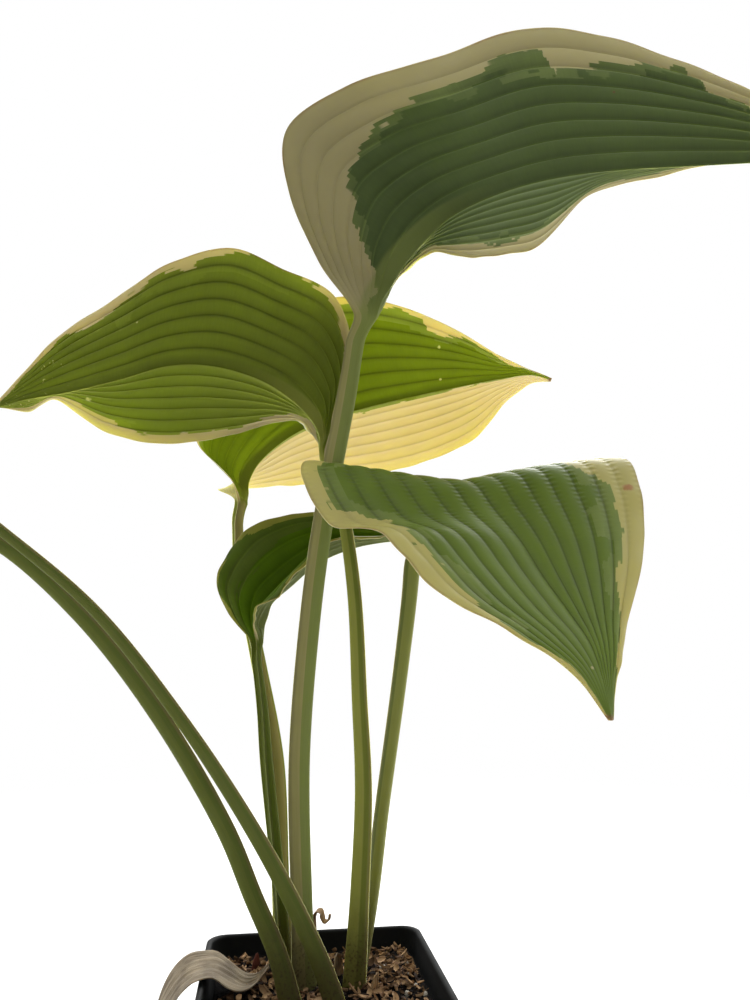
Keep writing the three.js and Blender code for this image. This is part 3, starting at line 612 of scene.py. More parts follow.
@dataclass(frozen=True)
class FibreFinish:
    """Dry plant matter: husk, bark, withered leaf or root, streaked along its own grain.

    Pieces that are scattered carry a `tone` attribute, which sets how pale each one is.
    """

    name: str
    dark: Colour
    pale: Colour
    scattered: bool = False
    grain: tuple[float, float, float] = (300, 300, 60)
    relief: float = 0.35
    clear: float = 0.0

    def material(self) -> bpy.types.Material:
        """Build the finish's node tree.

        Returns:
            The material.
        """
        material, nodes = new_material(self.name)
        position = nodes.position()
        if self.scattered:
            tone = nodes.attribute("tone").split()[0]
        else:
            tone = nodes.noise(position, 60, 4).ramp(-0.22, 0.22)
        streak = nodes.grain(position, self.grain, 4)
        colour = nodes.mix(tone, self.dark, self.pale)
        nodes.surface({
            "Base Color": nodes.brighten(colour, 1 + streak * 1.1),
            "Roughness": 0.78 + streak * 0.3,
            "Normal": nodes.bump(streak, self.relief, 0.7),
            "Specular IOR Level": 0.15,
            "Subsurface Weight": self.clear,
            "Subsurface Radius": (0.8, 0.6, 0.4),
            "Subsurface Scale": MM,
        })
        return material


@dataclass(frozen=True)
class PaperFinish:
    """A withered leaf: grey-tan paper with fine ribs that run along it."""

    name: str
    dark: Colour
    pale: Colour
    ribs: float = 26

    def material(self) -> bpy.types.Material:
        """Build the finish's node tree.

        Returns:
            The material.
        """
        material, nodes = new_material(self.name)
        across, along, _ = nodes.attribute("place").split()
        position = nodes.position()
        lines = nodes.noise(nodes.vector(across * self.ribs, along * 0.6, 2.0), 1.0, 4)
        stain = nodes.noise(position, 130, 5)
        colour = nodes.mix((lines + stain * 0.8).ramp(-0.2, 0.22), self.dark, self.pale)
        nodes.surface({
            "Base Color": colour,
            "Roughness": 0.82 + stain * 0.2,
            "Normal": nodes.bump(lines, 0.4, 0.8),
            "Subsurface Weight": 0.6,
            "Subsurface Radius": (0.9, 0.7, 0.5),
            "Subsurface Scale": MM,
        })
        return material


@dataclass(frozen=True)
class FloorFinish:
    """A plain pale floor that thins out into the backdrop with distance."""

    colour: Colour = (0.86, 0.86, 0.85, 1)
    near: float = 0.35
    far: float = 1.25

    def material(self) -> bpy.types.Material:
        """Build the finish's node tree.

        Returns:
            The material.
        """
        material, nodes = new_material("pale_floor")
        position = nodes.position()
        reach = nodes.distance(position, (0, 0, 0))
        tooth = nodes.noise(position, 300)
        nodes.surface({
            "Base Color": self.colour,
            "Roughness": 0.85 + tooth * 0.1,
            "Alpha": 1 - reach.ramp(self.near, self.far),
        })
        return material


# ------------------------------------------------------------------ mesh helpers


def make_piece(name: str, points: np.ndarray, faces: Sequence[Sequence[int]],
               crease: float = 50) -> bpy.types.Object:
    """Make a mesh object.

    Args:
        name: The piece's name.
        points: Its points, in mm.
        faces: Its faces, as indices of points.
        crease: The angle in degrees from which an edge stays sharp.

    Returns:
        The object, linked to the scene.
    """
    mesh = bpy.data.meshes.new(name)
    mesh.from_pydata((np.asarray(points) * MM).tolist(), [], [list(face) for face in faces])
    mesh.validate()
    mesh.shade_smooth()
    mesh.set_sharp_from_angle(angle=math.radians(crease))
    piece = bpy.data.objects.new(name, mesh)
    bpy.context.scene.collection.objects.link(piece)
    return piece


def store(piece: bpy.types.Object, name: str, values: np.ndarray) -> None:
    """Store three numbers at every point of a piece.

    Args:
        piece: The piece.
        name: The attribute's name.
        values: One row of three numbers for each point.
    """
    layer = piece.data.attributes.new(name, "FLOAT_VECTOR", "POINT")
    layer.data.foreach_set("vector", np.ascontiguousarray(values, dtype=np.float32).ravel())


def flatten(piece: bpy.types.Object) -> None:
    """Turn what a piece's modifiers make of it into its own plain mesh.

    Args:
        piece: The piece, which loses its modifiers.
    """
    graph = bpy.context.evaluated_depsgraph_get()
    mesh = bpy.data.meshes.new_from_object(piece.evaluated_get(graph))
    piece.modifiers.clear()
    piece.data = mesh


def hand_over(piece: bpy.types.Object, slot: str, *nodes: str) -> None:
    """Let a piece ride on the part, and say what it stands for.

    Args:
        piece: The finished piece.
        slot: The name of the material slot that is logged with the piece.
        *nodes: The nodes that it replaces.
    """
    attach(piece, BODY)
    if nodes:
        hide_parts(*nodes)
    triangles = sum(len(face.vertices) - 2 for face in piece.data.polygons)
    LOG.info("%s: %d triangles, slot %s", piece.name, triangles, slot)


def dress(piece: bpy.types.Object, finish: Any, slot: str, *nodes: str) -> None:
    """Give a piece its finish and hand it over.

    Args:
        piece: The piece.
        finish: One of the finishes above.
        slot: The name of the material slot that is logged with the piece.
        *nodes: The nodes that it replaces.
    """
    piece.data.materials.clear()
    piece.data.materials.append(finish.material())
    hand_over(piece, slot, *nodes)


def remesh_node(name: str, node: str, voxel: float) -> bpy.types.Object:
    """Copy a node's solid and give it a fine, even mesh.

    Args:
        name: The new piece's name.
        node: The node's name.
        voxel: The size of its faces, in mm.

    Returns:
        The piece.
    """
    piece = bpy.data.objects.new(name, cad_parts[node].data.copy())
    bpy.context.scene.collection.objects.link(piece)
    weld = piece.modifiers.new("weld", "WELD")
    weld.merge_threshold = WELD_GAP * MM
    grid = piece.modifiers.new("grid", "REMESH")
    grid.mode, grid.voxel_size = "VOXEL", voxel * MM
    flatten(piece)
    piece.data.shade_smooth()
    return piece


def knots_of(curves: Sequence[np.ndarray]) -> np.ndarray:
    """Knots for curves that keep step, spaced by the root of their longest chord."""
    chords = np.max([np.linalg.norm(np.diff(curve, axis=0), axis=1) for curve in curves], axis=0)
    return np.concatenate([[0.0], np.cumsum(np.sqrt(chords))])


def along_curve(points: np.ndarray, knots: np.ndarray, places: np.ndarray) -> np.ndarray:
    """Points of the smooth curve through the given ones.

    Args:
        points: The points that it passes through.
        knots: The place of each.
        places: Where the curve is read.

    Returns:
        One point for each place.
    """
    spans = np.diff(knots)[:, None]
    chords = np.diff(points, axis=0) / spans
    slopes = np.vstack([chords[:1], np.zeros((len(points) - 2, 3)), chords[-1:]])
    before, after = spans[:-1], spans[1:]
    slopes[1:-1] = (chords[1:] * before + chords[:-1] * after) / (before + after)
    index = np.clip(np.searchsorted(knots, places, side="right") - 1, 0, len(points) - 2)
    span = spans[index]
    f = (places - knots[index])[:, None] / span
    return (points[index] * (2 * f**3 - 3 * f**2 + 1)
            + slopes[index] * span * (f**3 - 2 * f**2 + f)
            + points[index + 1] * (3 * f**2 - 2 * f**3)
            + slopes[index + 1] * span * (f**3 - f**2))


def lengths_of(curve: np.ndarray) -> np.ndarray:
    """The length of a curve up to each of its points."""
    return np.concatenate([[0], np.cumsum(np.linalg.norm(np.diff(curve, axis=0), axis=1))])


def place_rows(column: np.ndarray, lengths: np.ndarray, share: np.ndarray) -> np.ndarray:
    """The `place` attribute of a sheet's points.

    Args:
        column: Shares across a half, by row and column.
        lengths: The length up to each row, in mm.
        share: The share along at each row.

    Returns:
        The share across, the distance along in cm and the share along, point by point.
    """
    wide = np.ones_like(column)
    centimetres = lengths[:, None] / 10
    return np.stack([column, centimetres * wide, share[:, None] * wide], axis=2).reshape(-1, 3)


def unit(vectors: np.ndarray) -> np.ndarray:
    """The same vectors with a length of 1."""
    return vectors / np.maximum(np.linalg.norm(vectors, axis=-1, keepdims=True), 1e-9)


def blend(first: np.ndarray, second: np.ndarray, share: np.ndarray) -> np.ndarray:
    """Values between two arrays."""
    return first + (second - first) * share


def sheet_faces(rows: int, columns: int) -> np.ndarray:
    """Faces of a closed sheet whose upper grid of points is followed by its lower one.

    Args:
        rows: Rows of points along the sheet.
        columns: Points across it.

    Returns:
        The four indices of each face, all pointing outwards.
    """
    upper = np.arange(rows * columns).reshape(rows, columns)
    lower = upper + rows * columns
    parts = [
        (upper[:-1, :-1], upper[:-1, 1:], upper[1:, 1:], upper[1:, :-1]),
        (lower[:-1, :-1], lower[1:, :-1], lower[1:, 1:], lower[:-1, 1:]),
        (lower[:-1, 0], upper[:-1, 0], upper[1:, 0], lower[1:, 0]),
        (upper[:-1, -1], lower[:-1, -1], lower[1:, -1], upper[1:, -1]),
        (lower[0, :-1], lower[0, 1:], upper[0, 1:], upper[0, :-1]),
        (upper[-1, :-1], upper[-1, 1:], lower[-1, 1:], lower[-1, :-1]),
    ]
    return np.vstack([np.stack([corner.ravel() for corner in part], axis=1) for part in parts])


def ring_faces(rings: int, sides: int) -> list[list[int]]:
    """Faces of a tube of rings that follow each other outwards, with both ends closed.

    Args:
        rings: How many rings there are.
        sides: Points in each ring.

    Returns:
        The faces, all pointing outwards.
    """
    faces = []
    for i in range(rings - 1):
        for k in range(sides):
            after = (k + 1) % sides
            faces.append([i * sides + k, i * sides + after,
                          (i + 1) * sides + after, (i + 1) * sides + k])
    faces.append(list(range(sides))[::-1])
    faces.append([(rings - 1) * sides + k for k in range(sides)])
    return faces


# ------------------------------------------------------------------ leaves


@dataclass(frozen=True)
class Border:
    """Where the cream margin and the sage before it start, as shares of each half by length."""

    left: Stops
    right: Stops
    sage_left: Stops
    sage_right: Stops

    def zones(self, share: np.ndarray, column: np.ndarray) -> list[np.ndarray]:
        """The two borders at points of a leaf.

        Args:
            share: Their share along the blade.
            column: Their share across a half, negative on the left.

        Returns:
            Where the cream starts and where the sage starts.
        """
        zones = []
        for pair in ((self.left, self.right), (self.sage_left, self.sage_right)):
            left, right = (np.interp(share, *zip(*stops)) for stops in pair)
            zones.append(np.where(column < 0, left, right))
        return zones


@dataclass
class Leaf:
    """A leaf that is grown in one piece: a channelled stalk that opens into a veined blade.

    `stalk` is the stalk's centre line. `blade` holds cross bars from the stalk to the tip, each
    with its left margin, midrib and right margin as seen from above the leaf.
    """

    name: str
    side: Point
    half_widths: tuple[float, float, float]
    stalk: Sequence[Point]
    blade: Sequence[Sequence[Point]]
    border: Border
    finish: LeafFinish
    foot_height: float = 84
    foot_narrowing: tuple[float, float] = (0.1, 0.85)
    channel: float = 0.28
    stalk_depths: tuple[float, float] = (1.6, 1.15)
    lift_fade: float = 4
    thickness: float = 0.66
    edge_thickness: float = 0.55
    bulge: float = 3
    relief: float = 0.6
    rib_height: float = 0.34
    rib_width: float = 0.075
    fade: float = 0.12
    edge_wave: float = 0.9
    edge_waves: float = 5
    edge_phase: float = 1
    edge_ripple: float = 0.3
    edge_ripples: float = 2.7  # for each wave
    bare_edge: float = 0.97  # share across a half where the veins' ribs end
    round_back: float = 9  # how fast the stalk's round back ends along the blade
    tangent_step: float = 0.05  # knots ahead and behind from which a direction is taken
    keel: float = 2.6
    keel_half: tuple[float, float] = (4.5, 2.5)
    full_relief: float = 40
    crease: tuple[float, float, float] = (0.4, 4, 14)
    stalk_step: float = 4
    blade_step: float = 1.7
    vein_columns: Sequence[float] = (0, 0.07, 0.2, 0.4, 0.6, 0.8, 0.93)

    def build(self) -> None:
        """Make the leaf and dress it."""
        upper, lower, place, cream, sage = self.faces()
        rows, columns = upper.shape[:2]
        points = np.vstack([upper, lower]).reshape(-1, 3)
        piece = make_piece(f"{self.name}_grown", points, sheet_faces(rows, columns))
        store(piece, "place", np.vstack([place, place]))
        zones = [np.stack([cream, sage, np.full_like(cream, under)], axis=1)
                 for under in (0.0, 1.0)]
        store(piece, "zone", np.vstack(zones))
        dress(piece, self.finish, "leaf", self.name)

    def guides(self) -> tuple[list[np.ndarray], np.ndarray, int]:
        """The leaf's left margin, midrib and right margin from foot to tip.

        Returns:
            The three curves, the stalk's half width at each point of it, and how many it has.
        """
        stalk = np.array(self.stalk, dtype=float)
        bars = np.array(self.blade, dtype=float)
        lengths = lengths_of(stalk)
        share = lengths / lengths[-1]
        foot, middle, top = self.half_widths
        place, narrowed = self.foot_narrowing
        halves = np.interp(share, [0, place, 0.5, 1], [foot, foot * narrowed, middle, top])
        at_foot = unit(np.array(self.side, dtype=float))
        at_top = unit(bars[0, 2] - bars[0, 0])
        sides = unit(blend(at_foot, at_top, share[:, None])) * halves[:, None]
        curves = [np.vstack([stalk - sides, bars[:, 0]]), np.vstack([stalk, bars[:, 1]]),
                  np.vstack([stalk + sides, bars[:, 2]])]
        return curves, halves, len(stalk)

    def columns(self) -> np.ndarray:
        """Work out where the leaf has a column of points, closer together at the veins.

        Returns:
            The shares across, from -1 at the left margin to 1 at the right.
        """
        half = [(i + step) / self.finish.veins for i in range(self.finish.veins)
                for step in self.vein_columns]
        half = np.array([*half, 1.0])
        return np.concatenate([-half[:0:-1], half])

    def places(self, curves: list[np.ndarray], knots: np.ndarray, count: int) -> np.ndarray:
        """Work out where the leaf has a row of points.

        Args:
            curves: The left margin, the midrib and the right margin.
            knots: The place of each of their points.
            count: How many of them are on the stalk.

        Returns:
            The rows' places along the knots.
        """
        places = []
        for i in range(len(knots) - 1):
            chord = max(float(np.linalg.norm(curve[i + 1] - curve[i])) for curve in curves)
            step = self.stalk_step if i < count - 1 else self.blade_step
            rows = max(1, round(chord / step))
            places.extend(knots[i] + (knots[i + 1] - knots[i]) * np.arange(rows) / rows)
        return np.array([*places, knots[-1]])

    def faces(self) -> tuple[np.ndarray, ...]:
        """Work out the upper and lower face.

        Returns:
            The two grids of points, then for each point of a grid its place and the places
            where the cream and the sage start.
        """
        curves, halves, count = self.guides()
        knots = knots_of(curves)
        places = self.places(curves, knots, count)
        left, rib, right = (along_curve(curve, knots, places) for curve in curves)
        ahead, behind = (along_curve(curves[1], knots, np.clip(places + step, 0, knots[-1]))
                         for step in (self.tangent_step, -self.tangent_step))
        along = unit(ahead - behind)
        row_normal = unit(np.cross(unit(right - left), along))
        start, stalk_end = knots[count], knots[count - 1]
        share = (places - start) / (knots[-1] - start)
        on_stalk = np.clip((start - places) / (start - stalk_end), 0, 1)
        half_width = (np.linalg.norm(left - rib, axis=1) + np.linalg.norm(right - rib, axis=1)) / 2
        stalk_half = np.interp(places, knots[:count], halves)
        depth = stalk_half * blend(*self.stalk_depths, np.clip(places / stalk_end, 0, 1))

        even = self.columns()[None, :]
        column = blend(even, np.sin(even * math.pi / 2), on_stalk[:, None])
        reach = np.abs(column)
        margin = np.where(column[..., None] < 0, left[:, None], right[:, None])
        normal = self.normals(column, left, rib, right, along, row_normal, half_width)
        lift = depth / 2 * np.clip((start - places) / self.lift_fade, 0, 1)
        rise = stalk_half * self.channel * on_stalk
        upper = rib[:, None] + (margin - rib[:, None]) * reach[..., None]
        upper += row_normal[:, None] * (lift[:, None] + rise[:, None] * reach**2)[..., None]
        upper += normal * self.upper_relief(column, reach, share, half_width)[..., None]
        under = self.underside(reach, share, half_width, depth)
        lower = upper - normal * under[..., None]
        for face in (upper, lower):
            drop = (self.foot_height - face[0, :, 2]) / along[0, 2]
            face[0] += along[0] * drop[:, None]

        place = place_rows(column, lengths_of(rib), share)
        cream, sage = self.border.zones(place[:, 2], place[:, 0])
        return upper, lower, place, cream, sage

    def normals(self, column: np.ndarray, left: np.ndarray, rib: np.ndarray, right: np.ndarray,
                along: np.ndarray, row_normal: np.ndarray, half_width: np.ndarray) -> np.ndarray:
        """The sheet's normals: the row's own at the rib, each half's own further out.

        Args:
            column: Shares across a half, by row and column.
            left: The left margin.
            rib: The midrib.
            right: The right margin.
            along: The midrib's direction.
            row_normal: The normal of each row.
            half_width: Half of each row's width.

        Returns:
            A normal for each row and column.
        """
        over, narrow, broad = self.crease
        halves = [unit(np.cross(across, along)) for across in (rib - left, right - rib)]
        half = np.where(column[..., None] < 0, halves[0][:, None], halves[1][:, None])
        breadth = np.clip((half_width - narrow) / (broad - narrow), 0, 1)[:, None]
        weight = np.clip(np.abs(column) / over, 0, 1) * breadth
        return unit(blend(np.broadcast_to(row_normal[:, None], half.shape), half, weight[..., None]))

    def upper_relief(self, column: np.ndarray, reach: np.ndarray, share: np.ndarray,
                     half_width: np.ndarray) -> np.ndarray:
        """Height of the upper face over the smooth sheet: bulge, sunk veins, waved margin.

        Args:
            column: Shares across a half, by row and column.
            reach: The same without their signs.
            share: Each row's share along the blade.
            half_width: Half of each row's width.

        Returns:
            The height at each row and column, in mm.
        """
        end = np.clip(np.minimum(share, 1 - share) / self.fade, 0, 1)[:, None]
        size = np.minimum(1, half_width / self.full_relief)[:, None]
        crest = 2 * np.abs(np.sin(math.pi * self.finish.veins * reach)) ** 0.75 - 1
        pillow = self.bulge * size * 4 * reach * (1 - reach) + self.relief * size * crest
        phase = 2 * math.pi * self.edge_waves * share[:, None]
        wave = self.edge_wave * reach**4 * np.sin(phase + self.edge_phase * (column > 0))
        ripple = self.edge_ripple * reach**8 * np.sin(self.edge_ripples * phase + 2 * column)
        return end * (pillow + wave + ripple)

    def underside(self, reach: np.ndarray, share: np.ndarray, half_width: np.ndarray,
                  depth: np.ndarray) -> np.ndarray:
        """Thickness under the upper face: the stalk's round back, the keel, the raised veins.

        Args:
            reach: Shares across a half without their signs, by row and column.
            share: Each row's share along the blade.
            half_width: Half of each row's width.
            depth: The stalk's depth at each row.

        Returns:
            The thickness at each row and column, in mm.
        """
        on_blade = np.clip(share * self.round_back, 0, 1)[:, None]
        back = depth[:, None] * np.sqrt(np.maximum(0, 1 - reach**2))
        keel_half = blend(*self.keel_half, np.clip(share, 0, 1))[:, None]
        section = np.maximum(0, 1 - (reach * half_width[:, None] / keel_half) ** 2)
        keel = self.keel * np.exp(-self.keel * np.clip(share, 0, 1))[:, None] * section
        vein = reach * self.finish.veins
        vein = np.abs(vein - np.round(vein))
        size = np.minimum(1, half_width / self.full_relief)[:, None]
        ribs = self.rib_height * size * np.exp(-((vein / self.rib_width) ** 2))
        ribs *= reach < self.bare_edge
        skin = blend(self.thickness, self.edge_thickness, reach**6)
        return skin + back * (1 - on_blade) + (keel + ribs) * on_blade


FOOT = 84  # height at which every stalk leaves the crown

LEAVES = (
    Leaf(
        name="leaf_top",
        side=(0, -1, 0),
        half_widths=(5.9, 5, 5.2),
        stalk=(
            (-7, 4, FOOT), (-9, 6, 125), (-11, 7, 189), (-7, 2, 256), (-1, -2, 307), (10, -5, 372),
            (14.5, -6, 403),
        ),
        blade=(
            ((21.5, -3, 420), (19.5, -7, 417), (11.5, -10, 416)),
            ((34, -4, 439), (30, -9, 432), (-8, -13, 443)),
            ((45, -3, 452), (39, -12, 447), (-25, -29, 473)),
            ((59, 5, 464), (50, -17, 460), (-27, -44, 496)),
            ((79, 22, 474), (64, -23, 472), (1, -55, 515)),
            ((108, 38, 485), (89, -35, 481), (37, -92, 503)),
            ((132, 30, 491), (114, -49, 482), (73, -108, 509)),
            ((152, 4, 507), (141, -65, 478), (105, -120, 498)),
            ((174, -25, 503), (167, -83, 470), (139, -124, 487)),
            ((192, -61, 488), (189, -100, 462), (170, -125, 473)),
            ((207, -90, 471), (205, -111, 457), (195, -122, 463)),
            ((217, -119, 452), (216, -120, 451), (215, -121, 452)),
        ),
        border=Border(
            left=(
                (0, 0.7), (0.34, 0.8), (0.44, 0.85), (0.49, 0.85), (0.54, 0.8), (0.7, 0.85), (1, 0.9),
            ),
            right=(
                (0, 0.5), (0.03, 0.3), (0.06, 0.14), (0.1, 0.2), (0.16, 0.35), (0.2, 0.45),
                (0.22, 0.5), (0.27, 0.58), (0.3, 0.65), (0.34, 0.73), (0.44, 0.78), (0.5, 0.85),
                (0.56, 0.86), (0.57, 0.73), (0.61, 0.75), (0.66, 0.8), (0.72, 0.92), (0.74, 0.85),
                (0.75, 0.75), (0.8, 0.78), (0.81, 0.62), (0.87, 0.8), (1, 0.9),
            ),
            sage_left=((0, 0.64), (0.4, 0.72), (0.5, 0.76), (0.6, 0.7), (1, 0.8)),
            sage_right=(
                (0, 0.5), (0.03, 0.3), (0.06, 0.12), (0.16, 0.3), (0.27, 0.53), (0.4, 0.7),
                (0.5, 0.74), (0.58, 0.66), (0.66, 0.74), (0.72, 0.86), (0.8, 0.6), (1, 0.8),
            ),
        ),
        finish=LeafFinish(
            "leaf_top_skin", 8, 1,
            # painted shade: this leaf's underside green, sage and cream are set darker than the plant's
            # own colours, for the shade that the underside hangs in
            green_under=display(79, 94, 46),
            sage=display(114, 127, 72),
            cream_under=display(163, 154, 112),
            right_half_painted_light=0.92,
            stalk=display(128, 137, 72),
            stalk_rim=display(132, 126, 84),
            strip=(0.8, 1.1),
            strip_colour=display(158, 150, 98),
            sheen=0.2,
            spots=(((121.2, -96.2, 492.2), 1.1, display(96, 72, 46)),),
        ),
    ),
    Leaf(
        name="leaf_left",
        side=(0, 1, 0),
        half_widths=(5.3, 4.2, 4),
        stalk=(
            (14, 4, FOOT), (17, 6, 125), (19, 7, 175), (17, 7, 217), (14, 8, 272), (7, 9, 319),
        ),
        blade=(
            ((2, 5, 339), (1, 9, 342), (2, 13, 341)),
            ((3, 9, 365), (-2, 9, 352), (-8, 23, 360)),
            ((12, 6, 404), (-9, 9, 364), (-16, 35, 370)),
            ((2, 0, 430), (-21, 9, 375), (-32, 41, 370)),
            ((-27, -16, 436), (-39, 8, 385), (-50, 42, 363)),
            ((-52, -26, 440), (-62, 7, 390), (-72, 35, 356)),
            ((-78, -32, 428), (-85, 5, 388), (-96, 29, 352)),
            ((-102, -34, 408), (-108, 3, 379), (-120, 30, 359)),
            ((-128, -26, 391), (-133, 1, 370), (-143, 21, 371)),
            ((-150, -12, 374), (-152, -1, 364), (-153, 8, 361)),
            ((-165, -4, 359), (-166, -3, 358), (-165, -2, 359)),
        ),
        border=Border(
            left=(
                (0, 0.7), (0.1, 0.72), (0.18, 0.8), (0.23, 0.88), (0.31, 0.94), (0.36, 0.97),
                (0.52, 0.97), (0.55, 0.93), (0.59, 0.88), (0.65, 0.93), (0.66, 0.88), (0.7, 0.88),
                (0.76, 0.82), (0.8, 0.88), (0.82, 0.95), (0.86, 0.85), (0.91, 0.88), (0.96, 0.68),
                (1, 0.6),
            ),
            right=(
                (0, 0.5), (0.22, 0.6), (0.31, 0.8), (0.36, 0.85), (0.42, 0.93), (0.52, 0.9),
                (0.57, 0.93), (0.62, 0.9), (0.69, 0.85), (0.74, 0.78), (0.77, 0.75), (1, 0.7),
            ),
            sage_left=(
                (0, 0.75), (0.2, 0.84), (0.34, 0.85), (0.44, 0.82), (0.54, 0.79), (0.58, 0.72),
                (0.65, 0.78), (0.68, 0.8), (0.69, 0.57), (0.71, 0.57), (0.72, 0.7), (0.75, 0.7),
                (0.8, 0.82), (0.85, 0.68), (0.91, 0.68), (1, 0.5),
            ),
            sage_right=(
                (0, 0.45), (0.22, 0.5), (0.3, 0.74), (0.42, 0.9), (0.52, 0.86), (0.6, 0.84),
                (0.69, 0.76), (0.77, 0.66), (1, 0.6),
            ),
        ),
        finish=LeafFinish(
            "leaf_left_skin", 7, 2,
            # its own yellow-green, with painted light on top: the underside's green and sage are made
            # yellower, and its right half brighter, for light that shines through the leaf from behind
            green_under=display(105, 115, 38),
            sage=display(116, 126, 46),
            cream_under=display(176, 162, 126),
            right_half_painted_light=1.3,
            vein_gain=(-0.42, -0.26),
            stalk=display(150, 152, 76),
            stalk_rim=display(138, 132, 80),
            glow=1.6,
            sheen=0.05,
            flecks=0.8,
            spots=(
                ((-125.9, 16.5, 370.8), 1.7, display(206, 200, 150)),
                ((-97.8, -15.4, 401.8), 0.9, display(196, 192, 130)),
            ),
        ),
    ),
    Leaf(
        name="leaf_front",
        side=(-1, -0.3, 0),
        half_widths=(4, 3.4, 4.3),
        relief=0.36,
        bulge=1,
        stalk=(
            (18.5, 18.5, FOOT), (26, 17, 125), (31, 16, 164), (40, 16, 224), (46, 16, 268),
            (48, 15, 289),
        ),
        blade=(
            ((53, 17, 303), (50, 15, 302), (47, 14, 302)),
            ((80, 19, 312), (53, 11, 317), (38, 7, 313)),
            ((112, 10, 327), (58, 4, 324), (19, -5, 323)),
            ((137, -3, 341), (64, -7, 327), (-13, -16, 334)),
            ((152, -20, 341), (71, -21, 324), (-13, -24, 319)),
            ((151, -38, 319), (78, -35, 307), (-2, -36, 299)),
            ((145, -51, 297), (85, -48, 291), (16, -50, 295)),
            ((135, -63, 276), (91, -60, 273), (27, -62, 282)),
            ((123, -74, 256), (97, -72, 257), (41, -75, 265)),
            ((114, -83, 239), (101, -82, 244), (66, -86, 248)),
            ((108, -89, 228), (102, -89, 231), (88, -91, 234)),
            ((103, -95, 215), (102, -96, 215), (101, -95, 215)),
        ),
        border=Border(
            left=(
                (0, 0.6), (0.39, 0.62), (0.43, 0.72), (0.46, 0.78), (0.5, 0.78), (0.52, 0.82),
                (0.6, 0.8), (0.64, 0.75), (0.66, 0.72), (0.71, 0.82), (0.78, 0.85), (0.85, 0.82),
                (0.9, 0.95), (1, 0.9),
            ),
            right=(
                (0, 0.85), (0.3, 0.88), (0.39, 0.9), (0.44, 0.93), (0.45, 0.8), (0.47, 0.78),
                (0.48, 0.65), (0.54, 0.75), (0.59, 0.83), (0.63, 0.8), (0.71, 0.8), (0.76, 0.83),
                (0.81, 0.93), (0.83, 0.95), (0.91, 0.8), (1, 0.7),
            ),
            sage_left=(
                (0, 0.5), (0.39, 0.52), (0.46, 0.7), (0.49, 0.72), (0.5, 0.6), (0.57, 0.6),
                (0.58, 0.72), (0.66, 0.62), (0.78, 0.76), (1, 0.8),
            ),
            sage_right=(
                (0, 0.7), (0.3, 0.78), (0.39, 0.8), (0.44, 0.75), (0.48, 0.55), (0.54, 0.68),
                (0.63, 0.72), (0.69, 0.58), (0.71, 0.6), (0.76, 0.76), (0.81, 0.66), (0.84, 0.85),
                (1, 0.6),
            ),
        ),
        finish=LeafFinish(
            "leaf_front_skin", 7, 3,
            green=display(102, 124, 22),
            sage=display(136, 150, 77),
            cream=display(192, 183, 110),
            stalk=display(144, 147, 72),
            stalk_rim=display(138, 132, 80),
            vein_gain=(-0.22, 0.2),
            sheen=0.4,
            pucker=0.5,
            spots=(
                ((144.7, -38, 320.1), 3.4, display(176, 112, 70)),
                ((98.5, -88.5, 234.5), 1.1, display(196, 184, 136)),
            ),
        ),
    ),
    Leaf(
        name="leaf_back",
        side=(0.2, -1, 0),
        half_widths=(5, 4.5, 3.8),
        relief=0.25,
        rib_height=0.16,
        stalk=(
            (-14.5, 31.5, FOOT), (-18, 37, 124), (-22, 45, 184), (-33, 54, 236), (-45, 64, 287),
            (-48, 69, 318),
        ),
        blade=(
            ((-51, 73, 331), (-47.5, 69, 328), (-48.5, 65, 327.5)),
            ((-61, 81, 338), (-46, 67.5, 333), (-52, 60, 339)),
            ((-56, 96, 342), (-44, 67, 342), (-73, 57, 361)),
            ((-27, 106, 347), (-36.5, 64, 354), (-69, 56, 384)),
            ((-7, 110, 351), (-20, 60, 368), (-50, 43, 414)),
            ((22, 106, 356), (2, 56, 379), (-21, 30, 435)),
            ((52, 98, 360), (29, 52, 387), (10, 22, 442)),
            ((77, 86, 365), (56, 49, 394), (44, 19, 436)),
            ((101, 76, 378), (83, 45, 400), (75, 24, 427)),
            ((117, 64, 396), (107, 42, 405), (102, 31, 416)),
            ((131, 52, 407), (127, 40, 408), (126, 36, 409)),
            ((139, 40, 404), (139, 39, 405), (139, 38, 405)),
        ),
        border=Border(
            left=((0, 0.06), (1, 0.06)),
            right=(
                (0, 0.98), (0.07, 0.98), (0.12, 0.95), (0.63, 0.95), (0.69, 0.95), (0.7, 0.8),
                (0.73, 0.8), (0.78, 0.93), (0.84, 0.93), (0.89, 0.6), (0.93, 1), (1, 1),
            ),
            sage_left=((0, 0.0), (1, 0.0)),
            sage_right=(
                (0, 0.9), (0.2, 0.86), (0.4, 0.84), (0.55, 0.8), (0.68, 0.78), (0.72, 0.68),
                (0.8, 0.8), (0.88, 0.5), (1, 0.9),
            ),
        ),
        finish=LeafFinish(
            "leaf_back_skin", 7, 4,
            # painted light: the underside's green, sage and cream are set brighter and yellower than
            # the plant's own colours, for light that shines through the leaf from behind
            green_under=display(124, 137, 27),
            sage=display(150, 158, 74),
            cream_under=display(206, 188, 140),
            vein_gain=(-0.42, -0.2),
            stalk=display(112, 118, 34),
            strip=(0.5, 1.1),
            strip_colour=display(150, 140, 84),
            glow=1.7,
            sheen=0.05,
            spots=(
                ((67.6, 33.3, 418.9), 1.3, display(226, 218, 140)),
                ((70.4, 43.4, 402.6), 1.1, display(222, 212, 132)),
            ),
        ),
    ),
    Leaf(
        name="leaf_small",
        side=(0.2, -1, 0),
        half_widths=(3.2, 3.4, 2.6),
        stalk=(
            (-15, 20, FOOT), (-19, 22, 124), (-27, 32, 186), (-30, 37, 213), (-34, 40, 237),
        ),
        blade=(
            ((-38.5, 43, 247), (-34, 41, 246), (-35, 38, 247)),
            ((-51, 48, 262), (-33, 41, 254), (-37, 27, 258)),
